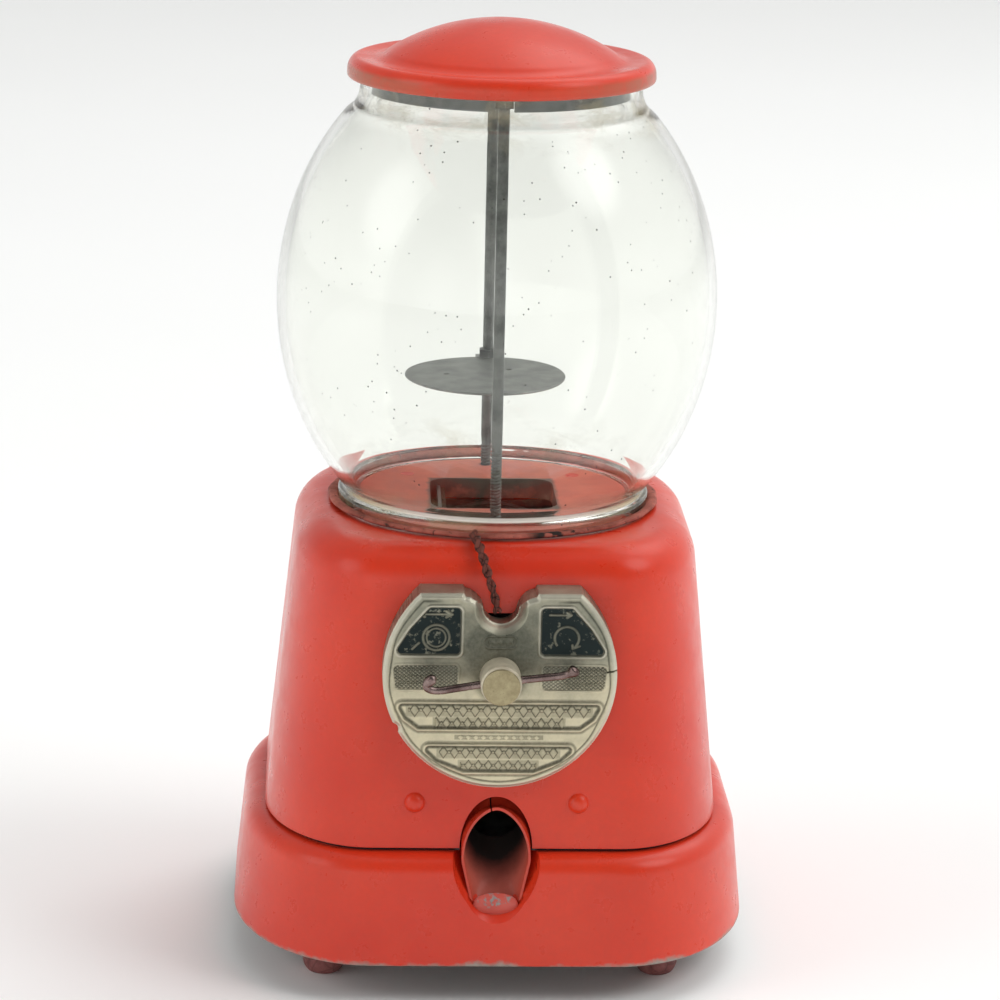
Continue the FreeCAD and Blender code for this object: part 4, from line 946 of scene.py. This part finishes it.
# ---- coin plate, a relief worked out point by point; x and z are measured from the handle shaft ----
CELL = 0.24                  # size of the relief's grid
PANEL = [(14.9, 8.2), (39.6, 8.2), (34.8, 17.6), (26.6, 27.4), (14.9, 27.4)]
BAR = [(15.5, -5.6), (40.4, -5.6), (41.0, 4.8), (15.5, 5.0)]
BANNER_WIDE = [(-39.2, -10.0), (39.2, -10.0), (37.4, -15.5), (32.8, -21.6), (-32.8, -21.6), (-37.4, -15.5)]
BANNER_LOW = [(-28.8, -26.8), (28.8, -26.8), (25.6, -31.5), (15.5, -38.8), (-15.5, -38.8), (-25.6, -31.5)]
BANNERS = ((BANNER_WIDE, ((-13.4, 34.6, 4.6, 2.5), (-18.6, 24.4, 4.0, 2.1))),    # with their rows of beads
           (BANNER_LOW, ((-30.2, 22.6, 4.2, 2.3), (-35.4, 14.6, 3.8, 1.9))))
NOTCH = [(-6.9, 26.2), (-8.0, 27.9), (-9.4, 29.4), (-11.0, 30.3), (-11.6, 30.9), (-13.5, 31.2), (-14.2, 32.2),
         (-14.2, 42.0), (13.9, 42.0), (13.9, 32.0), (13.2, 31.1), (11.4, 30.7), (9.8, 29.9), (8.4, 28.4),
         (6.9, 26.2)]
STROKES = [((-30.5, 24.4), (-18.5, 24.4)), ((-18.5, 24.4), (-20.8, 25.6)), ((-18.5, 24.4), (-20.8, 23.2)),
           ((-30.5, 24.4), (-29.0, 25.5)), ((-30.5, 24.4), (-29.0, 23.3)), ((-33.5, 10.6), (-31.0, 13.0)),
           ((18.5, 24.4), (26.5, 24.4)), ((26.5, 24.4), (24.9, 25.4)), ((26.5, 24.4), (24.9, 23.4)),
           ((27.3, 11.2), (27.2, 12.6)), ((27.3, 11.2), (29.9, 12.2))]
COIN_SIGN = (-24.5, 15.2)
TURN_SIGN = (25.0, 15.2)
OVAL = ((-4.0, 13.7), (4.0, 13.7))
CRACK = ((40.6, 2.1), (45.0, 2.6))
BITE = (-40.8, -21.6, 2.6)   # a chip out of the edge: its middle and radius


def to_polygon(x, z, points):
    """Signed distance to a polygon, negative inside."""
    best = np.full(x.shape, np.inf)
    sign = np.ones(x.shape)
    for a, b in zip(points, points[1:] + points[:1]):
        best = np.minimum(best, to_segment(x, z, a, b))
        crosses = (a[1] <= z) != (b[1] <= z)
        if a[1] != b[1]:
            reach = a[0] + (z - a[1]) * (b[0] - a[0]) / (b[1] - a[1])
            sign = np.where(crosses & (x < reach), -sign, sign)
    return sign * best


def to_rounded(x, z, points, r):
    """Signed distance to a polygon with corners rounded by r, made by shrinking it about its middle."""
    middle = sum((Vector(p) for p in points), Vector((0.0, 0.0))) / len(points)
    inner = []
    for p in points:
        inner.append([p[i] - copysign(min(r, abs(p[i] - middle[i])), p[i] - middle[i]) for i in (0, 1)])
    return to_polygon(x, z, inner) - r


def to_segment(x, z, a, b):
    ex, ez = b[0] - a[0], b[1] - a[1]
    t = np.clip(((x - a[0]) * ex + (z - a[1]) * ez) / (ex * ex + ez * ez), 0, 1)
    return np.hypot(x - a[0] - ex * t, z - a[1] - ez * t)


def ridge(distance, width, height):
    """A rounded ridge along distance zero."""
    return height * np.clip(1 - (distance / width) ** 2, 0, 1)


def smooth(value, low, high):
    t = np.clip((value - low) / (high - low), 0, 1)
    return t * t * (3 - 2 * t)


def plate_body(x, z):
    """Signed distance to a disc with a flat top."""
    return np.maximum(np.hypot(x, z) - PLATE_R, z - PLATE_FLAT)


def plate_edge(x, z):
    """Signed distance to the plate's outline: the flat-topped disc, its coin notch and its chip."""
    hole = np.minimum(np.hypot(x, z - NOTCH_Z) - NOTCH_R, to_polygon(x, z, NOTCH))
    bite = BITE[2] - np.hypot(x - BITE[0], z - BITE[1])
    return np.maximum(np.maximum(plate_body(x, z), -hole), bite)


def bead_row(x, z, centre, half, pitch, size):
    """A row of lozenges and pearls: plain border ornament in place of words."""
    u = (x / pitch + 0.5) % 1.0 - 0.5
    v = (x / pitch) % 1.0 - 0.5
    lozenge = np.abs(u * pitch) / (pitch * 0.36) + np.abs(z - centre) / size
    pearl = np.hypot(v * pitch, z - centre) / (size * 0.3)
    shape = np.maximum(np.clip(1.25 - lozenge, 0, 0.5), np.clip(1.1 - pearl, 0, 0.5) * 0.8)
    return np.where(np.abs(x) < half, shape, 0.0)


def sign_strokes(x, z):
    """Distance to the raised signs: arrow and coin on the left, arrow and turn sign on the right."""
    coin = np.hypot(x - COIN_SIGN[0], z - COIN_SIGN[1])
    across, up = x - TURN_SIGN[0], z - TURN_SIGN[1]
    angle = np.degrees(np.arctan2(up, across))
    turn = np.where((angle > -60) | (angle < -140), np.abs(np.hypot(across, up) - 4.6), 9.0)
    rest = [np.abs(coin - 5.0), np.abs(coin - 3.6) + 0.12, turn]
    return np.minimum.reduce([to_segment(x, z, a, b) for a, b in STROKES] + rest)


def plate_relief(x, z):
    """Height of the plate's face, with how hollow, raised or dark-painted each point is; the hollow share also carries
    painted shade.
    """
    marks = {name: np.zeros(x.shape) for name in ("hollow", "raised", "dark")}

    def mark(name, value):
        marks[name] = np.maximum(marks[name], value)

    rim = -plate_edge(x, z)
    height = -1.35 * (1 - smooth(rim, 0.0, 1.5))
    mark("raised", 1 - smooth(rim, 0.8, 2.4))
    scoop = np.hypot(x, z - NOTCH_Z)
    slope = smooth(scoop, NOTCH_FLARE_R, NOTCH_R) * (z < NOTCH_Z + 3)
    height -= 3.6 * slope
    mark("raised", slope)
    side = smooth(np.abs(x), 20.0, 27.0)
    ring = ridge(plate_body(x, z) + 2.7 + 0.25 * np.sin(z * 0.3), 0.45, 1.0) * np.where(z > -20, side, 1.0)
    height -= 0.25 * ring
    mark("hollow", ring * 0.8)
    beyond = scoop > NOTCH_FLARE_R - 0.2
    # painted shade: broad dark zones over the upper middle of the plate, round the notch and the hub, go into the
    # hollow share
    mark("hollow", (1 - smooth(np.hypot(x / 19.0, (z - 10.0) / 17.0), 0.62, 1.05)) * 0.7 * beyond)
    mark("hollow", (1 - smooth(np.hypot(x / 44, (z - 13) / 16), 0.75, 1.0)) * 0.42 * beyond)

    for mirror in (-1, 1):
        panel = to_rounded(x * mirror, z, PANEL, 2.0)
        height -= 0.75 * (1 - smooth(panel, -0.5, 0.0))
        height += ridge(panel - 0.35, 0.75, 0.5)
        mark("dark", 1 - smooth(panel, -0.7, -0.2))
        mark("raised", ridge(panel - 0.35, 0.7, 0.9))

        bar = to_rounded(x * mirror, z, BAR, 2.2)
        inside = 1 - smooth(bar, -0.8, -0.3)
        u, v = (np.abs(((x * 0.78 + way * z) / 1.32) % 1.0 - 0.5) * 2 for way in (1, -1))
        knurl = 1 - np.maximum(u, v)
        worn = smooth(np.abs(x), 19.0, 27.0) * 0.75 + 0.25
        height += inside * (knurl * 0.72 * worn - 0.3) + ridge(bar, 0.6, 0.25)
        mark("hollow", inside * (1 - smooth(knurl, 0.05, 0.45)) * 0.95)
        mark("raised", inside * smooth(knurl, 0.55, 0.9) * 0.5)
        mark("dark", inside * 0.25)

    for banner, rows in BANNERS:
        edge = to_rounded(x, z, banner, 2.4)
        inside = 1 - smooth(edge, -1.2, -0.6)
        height += ridge(edge + 0.4, 0.8, 0.6) - 0.28 * inside
        mark("hollow", ridge(edge + 1.4, 0.9, 0.95))
        mark("hollow", ridge(edge - 0.6, 0.7, 0.6))
        for centre, half, pitch, size in rows:
            beads = bead_row(x, z, centre, half, pitch, size) * inside
            height += beads * 1.3
            mark("hollow", smooth(beads, 0.0, 0.1) * (1 - smooth(beads, 0.24, 0.42)) * 0.95)
            band = (1 - smooth(np.abs(z - centre), size * 0.9, size * 1.3)) * (np.abs(x) < half + 1.0)
            mark("hollow", band * inside * 0.38)

    oval = to_segment(x, z, *OVAL) - 2.4
    height += ridge(oval, 0.55, 0.45) + bead_row(x, z, 13.7, 4.6, 2.4, 1.5) * 0.7 * (oval < -0.4)
    mark("hollow", (oval < -0.3) * 0.75)
    dots = bead_row(x, z, -24.2, 15.5, 2.9, 0.9)
    height += dots * 0.6
    mark("hollow", (np.abs(z + 24.2) < 1.0) * (np.abs(x) < 17) * (1 - smooth(dots, 0.05, 0.3)) * 0.5)

    signs = sign_strokes(x, z)
    dark = marks["dark"]
    on_panel = dark > 0.9
    height += ridge(signs, 0.62, 0.42) * on_panel
    dark = np.where(on_panel, dark - 0.75 * (1 - smooth(signs, 0.3, 0.62)), dark)
    crack = to_segment(x, z, *CRACK)
    height -= ridge(crack, 0.35, 0.7)
    mark("hollow", 1 - smooth(crack, 0.15, 0.45))
    # painted shade round the foot of the hub, fading outwards
    mark("hollow", (1 - smooth(np.hypot(x, z), HUB_R + 0.4, HUB_R + 4.5)) * 0.7)
    return height, marks["hollow"], marks["raised"] * (1 - marks["hollow"]), np.clip(dark, 0, 1)


def make_plate():
    """The cast plate: a fine grid cut to the outline, raised by the relief, and walled back to the body."""
    steps = int(PLATE_R / CELL) + 2
    lines = np.arange(-steps, steps + 1) * CELL
    x, z = np.meshgrid(lines, lines)
    edge = plate_edge(x, z)
    e = 0.02
    gx = (plate_edge(x + e, z) - plate_edge(x - e, z)) / (2 * e)
    gz = (plate_edge(x, z + e) - plate_edge(x, z - e)) / (2 * e)
    near = np.abs(edge) < CELL * 0.55
    x = np.where(near, x - edge * gx, x)
    z = np.where(near, z - edge * gz, z)
    height, *layers = plate_relief(x, z)
    kept = edge < CELL * 0.55
    number = np.full(x.shape, -1)
    number[kept] = np.arange(int(kept.sum()))
    points = [Vector((a, PLATE_FACE - h, SHAFT_Z + b)) for a, b, h in zip(x[kept], z[kept], height[kept])]
    corners = (number[:-1, :-1], number[:-1, 1:], number[1:, 1:], number[1:, :-1])
    whole = np.minimum.reduce(corners) >= 0
    faces = [tuple(int(i) for i in quad) for quad in zip(*(c[whole] for c in corners))]

    edges = dict.fromkeys((a, b) for quad in faces for a, b in zip(quad, quad[1:] + quad[:1]))
    border = {a: b for a, b in edges if (b, a) not in edges}
    wall = {}
    for a in border:
        p = points[a]
        wall[a] = range(len(points), len(points) + 3)
        points += [Vector((p.x, p.y + (-body_front(p.z) - p.y) * share, p.z)) for share in (0.06, 0.5, 1.0)]
    middle = len(points)
    points.append(Vector((0.0, -body_front(SHAFT_Z), SHAFT_Z)))
    for a, b in border.items():
        if b in wall:
            rows = [(a, b), *zip(wall[a], wall[b])]
            faces += [(b1, a1, a2, b2) for (a1, b1), (a2, b2) in zip(rows, rows[1:])]
            faces.append((rows[-1][1], rows[-1][0], middle))

    mesh = bpy.data.meshes.new("coin_plate_casting")
    mesh.from_pydata([p * MM for p in points], [], faces)
    for name, values, rest in zip(("hollow", "raised", "dark"), layers, (0.25, 0.35, 0.0)):
        full = np.full(len(points), rest, np.float32)
        full[: int(kept.sum())] = values[kept]
        mesh.attributes.new(name, "FLOAT", "POINT").data.foreach_set("value", full)
    mesh.validate()
    point_outwards(mesh)
    place(linked("coin_plate_casting", mesh), "root", "aged_nickel", ["coin_plate"], 55.0)


# ---- hub and handle ----
HANDLE_ROUTE = [(-24.6, -2.6, 2.6), (-27.6, -2.4, 0.9), (-28.6, -1.8, -2.0), (-24.5, -0.9, -3.6),
                (-17.0, 0.0, -2.6), (-6.0, 0.0, -0.7), (6.0, 0.0, 0.7), (17.0, 0.0, 2.0), (23.5, -0.6, 2.8),
                (27.2, -1.4, 4.6), (28.6, -1.8, 6.2)]
WIRE_R = 1.62


def along_y(profile, drop=0.0):
    """A profile of (radius, y) turned round the handle shaft."""
    z = SHAFT_Z - drop
    return lofted([[(r * cos(a), y, z + r * sin(a)) for a in circle(96)] for r, y in profile])


def make_hub():
    """The barrel, and the brass face let into it, faintly domed, with a worn edge."""
    profile = [(0.0, HUB_BACK, 0), (HUB_R, HUB_BACK, 0.3), (HUB_R, HUB_FRONT, 0.6), (0.0, HUB_FRONT, 0)]
    piece = new_object("hub_barrel", *along_y(rounded(profile, False)))
    place(piece, "spindle", "aged_nickel", ["hub"], material=materials["hub_brass"])
    back, front = HUB_FRONT + 0.5, HUB_FRONT - CAP_THICK
    profile = [(0.0, back, 0), (CAP_R, back, 0.1), (CAP_R, front + 0.15, 0.35),
               (CAP_R - 1.2, front + 0.02, 0.6), (0.0, front, 0)]
    piece = new_object("hub_face", *along_y(rounded(profile, False), CAP_DROP))
    place(piece, "spindle", "brass", ["hub_cap"])


def make_handle():
    """Bent steel wire through the hub, its left end turned up and its right end swelling forward."""
    line = route_points("handle_route", [(x, HANDLE_Y + y, SHAFT_Z + z) for x, y, z in HANDLE_ROUTE])
    rings = []
    for i, (at, side, other) in enumerate(frames_along(line, Vector((0.0, 1.0, 0.0)), True)):
        share = i / (len(line) - 1)
        swell = 0.92 + 0.52 * smooth(share, 0.87, 0.96) + 0.36 * smooth(1 - share, 0.86, 0.95)
        tip = sqrt(max(0.05, 1 - max(0.0, 1 - min(share, 1 - share) / 0.035) ** 2))
        rings.append(hoop(at, side, other, WIRE_R * float(swell) * tip, 20))
    piece = new_object("handle_bent_wire", *lofted(rings, capped=True))
    place(piece, "spindle", "handle_steel", ["handle_wire"], 60.0)


# ---- chute ----
TUBE_AROUND = 120
TUBE_ALONG = 20
TONGUE_HALF = radians(27)
TONGUE_ACROSS = 24
TONGUE_UP = 8
TONGUE_RISE = 8.4
TONGUE_THICK = 0.8


def rim_shape(a):
    """The rolled tube's rim at an angle from its top: across and up, as shares of the radius."""
    if cos(a) >= 0:
        return Vector((sin(a), RIM_TOP * cos(a)))
    share = 1 - abs(pi - a) / (pi / 2)
    if share < RIM_CORNER:
        q = share / RIM_CORNER
        across, up = 1 - (1 - RIM_NARROW) * q, -RIM_FALL * q
    else:
        q = (share - RIM_CORNER) / (1 - RIM_CORNER) * pi / 2
        across, up = RIM_NARROW * cos(q), -RIM_FALL - (1 - RIM_FALL) * sin(q)
    return Vector((copysign(across, pi - a), up))


def smooth_rim(a):
    steps = [rim_shape((a + radians(d)) % (2 * pi)) for d in (-6, -4, -2, 0, 2, 4, 6)]
    return sum(steps, Vector((0.0, 0.0))) / len(steps)


def to_mouth(out):
    """How far along the tube a point beside its axis meets the slanted mouth."""
    return -out.dot(CHUTE_FACE) / CHUTE_AXIS.dot(CHUTE_FACE)


def tube_line(r, a):
    """Points from the mouth back along the tube, which turns from the rim's shape into a circle."""
    rim = smooth_rim(a)
    top = max(0.0, cos(a))
    line = []
    for back in (m / TUBE_ALONG for m in range(TUBE_ALONG + 1)):
        round_share = float(smooth(back, 0.0, 0.45))
        x = rim.x * (1 - round_share) + sin(a) * round_share
        z = rim.y * (1 - round_share) + cos(a) * round_share - RIM_SINK * top * min(back * 22.0, 8.5) / r
        out = CHUTE_UP * (z * r + 0.5 * top ** 14 * (1 - round_share)) + ACROSS * x * r
        start = CHUTE_MID + out
        t_mouth = to_mouth(out) + (0.25 if r < CHUTE_R else 0.0)
        t_back = (CHUTE_BACK - start.y) / CHUTE_AXIS.y
        line.append(start + CHUTE_AXIS * (t_mouth + (t_back - t_mouth) * back))
    return line


def make_chute():
    """Rolled and split tube, pinched towards the bottom of its slanted mouth."""
    sweep = 2 * pi - 2 * RIM_GAP
    rings = []
    for k in range(TUBE_AROUND + 1):
        a = (RIM_SPLIT + RIM_GAP + sweep * k / TUBE_AROUND) % (2 * pi)
        rings.append(tube_line(CHUTE_R, a) + tube_line(CHUTE_R - CHUTE_WALL, a)[::-1])
    piece = new_object("chute_tube", *lofted(rings, capped=True))
    place(piece, "root", "red_enamel", ["chute"], 40.0, chute_enamel())
    inside = piece.data.attributes.new("inside", "FLOAT", "POINT")
    middle = CHUTE_MID * MM
    for vertex in piece.data.vertices:
        foot = middle + CHUTE_AXIS * (vertex.co - middle).dot(CHUTE_AXIS)
        inside.data[vertex.index].value = float(vertex.normal.dot(foot - vertex.co) > 0)


def make_tongue():
    """The turned-up tongue that closes the bottom of the chute's mouth."""
    rings = []
    for share in (j / TONGUE_UP for j in range(TONGUE_UP + 1)):
        front, back = [], []
        for k in range(TONGUE_ACROSS + 1):
            rim = smooth_rim(pi - TONGUE_HALF + 2 * TONGUE_HALF * k / TONGUE_ACROSS) * (CHUTE_R - 0.3)
            low = CHUTE_UP * rim.y + ACROSS * rim.x
            bow = sin(pi * k / TONGUE_ACROSS) ** 0.8
            at = CHUTE_MID + low + CHUTE_AXIS * to_mouth(low) + UP * (TONGUE_RISE * share * bow)
            dish = 0.2 + 1.2 * sin(pi * share) * bow
            front.append(at + CHUTE_FACE * dish)
            back.append(at + CHUTE_FACE * (dish - TONGUE_THICK))
        rings.append(front + back[::-1])
    piece = new_object("chute_tongue", *lofted(rings, capped=True))
    place(piece, "root", "red_enamel", [], 45.0, worn_tongue())


def make_feet():
    """Rubber bumpers: straight sides, a fat rounded bottom edge and a screw well."""
    top = BASE_BOTTOM - 0.02
    profile = rounded([(2.5, top, 0), (8.1, top, 0.5), (8.6, 9.0, 5.0), (8.3, 3.2, 2.6), (6.4, 0.0, 2.0),
                       (4.6, 0.0, 0.4), (4.6, 5.0, 0.3), (2.5, 5.0, 0)], True, 6)
    for corner, x, y in FEET:
        piece = new_object("bumper_" + corner, *turned(profile, 48, (x, y)))
        place(piece, "root", "bumper_rubber", ["foot_" + corner])


# ---- CAD nodes that stay as they are ----
OILY = ("measuring_drum", "housing_front", "housing_rear", "housing_left", "housing_right")
SPECIAL = {"hopper_plate": "hopper_enamel", **dict.fromkeys(OILY, "oily_dark")}


def paint_nodes():
    """Each CAD node that stays takes the material of its slot, or its own."""
    for row in frame["record"]["subparts"]:
        node = frame["nodes"][row["node"]]
        material = materials[SPECIAL.get(row["node"], row["material_slot"])]
        if node.material_slots:
            for slot in node.material_slots:
                slot.link = "OBJECT"
                slot.material = material
        else:
            node.data.materials.append(material)


# ---- studio ----
FLOOR_HALF = 9000.0
FLOOR_STEPS = 12
SKY_BASE = 0.44
HORIZON = (0.42, 0.02, 0.0, 0.42)        # a ring of light: where it ends, where it is full, and its gain
SKY_LOBES = [((0.0, -0.8, 0.6), 0.5, 0.95, -0.3), ((0.45, 0.3, 0.85), 0.6, 0.96, 0.45),
             ((-0.8, -0.6, 0.06), 0.84, 0.97, 0.3), ((0.66, -0.26, 0.7), 0.93, 0.995, 1.9),
             ((-0.84, -0.24, 0.48), 0.94, 0.995, 1.1), ((0.42, 0.45, 0.79), 0.91, 0.985, 1.0),
             ((-0.25, -0.97, 0.04), 0.8, 0.98, 0.55)]
SOFTBOXES = [("key", (1.5, -0.6, 1.5), 0.9, 10.0), ("fill", (-1.8, -0.5, 1.0), 1.3, 8.0),
             ("back", (0.9, 1.4, 2.3), 2.0, 22.0)]
LAMPS_FACE = UP * 0.15


def make_sky():
    """A ring of light at the horizon, dim above the camera, with broad glows overhead and at the sides."""
    world = bpy.data.worlds.new("studio")
    bpy.context.scene.world = world
    world.use_nodes = True
    sky = Nodes(world.node_tree)
    direction = sky.node("TexCoord", "Generated")

    def towards(at):
        return sky.vector("DOT_PRODUCT", direction, Vector(at).normalized(), "Value")

    light = abs(towards(UP)).step(*HORIZON, interpolation_type="SMOOTHSTEP") + SKY_BASE
    for at, low, high, gain in SKY_LOBES:
        light = light + towards(at).step(low, high, 0.0, gain, interpolation_type="SMOOTHSTEP")
    background = world.node_tree.nodes["Background"]
    background.inputs["Color"].default_value = (1.0, 1.0, 0.99, 1.0)
    sky.feed(background.inputs["Strength"], light)


def make_studio():
    """A white floor under a bright sky, and three large softboxes."""
    lines = [-FLOOR_HALF + 2 * FLOOR_HALF * i / FLOOR_STEPS for i in range(FLOOR_STEPS + 1)]
    points = [(x, y, 0.0) for y in lines for x in lines]
    row = len(lines)
    corners = [j * row + i for j in range(FLOOR_STEPS) for i in range(FLOOR_STEPS)]
    floor = new_object("studio_floor", points, [(a, a + 1, a + row + 1, a + row) for a in corners])
    floor.data.materials.append(studio_white())
    make_sky()
    for name, at, size, power in SOFTBOXES:
        data = bpy.data.lights.new(name, "AREA")
        data.shape = "RECTANGLE"
        data.size = data.size_y = size
        data.energy = power
        lamp = linked(name, data)
        lamp.location = at
        lamp.visible_camera = lamp.visible_glossy = lamp.visible_transmission = False
        lamp.rotation_mode = "QUATERNION"
        lamp.rotation_quaternion = (LAMPS_FACE - Vector(at)).to_track_quat("-Z", "Y")


make_camera()
materials = make_materials()
make_tail()
make_ring()
paint_nodes()
make_base()
make_collar()
make_body()
make_globe()
make_lid()
make_baffle()
make_rod("front_rod", "tie_rod_front", -ROD_Y, 207.0)
make_rod("rear_rod", "tie_rod_rear", ROD_Y, 186.0)
make_plate()
make_hub()
make_handle()
make_chute()
make_tongue()
make_feet()
make_studio()
bpy.context.scene.view_settings.view_transform = "Standard"

import json
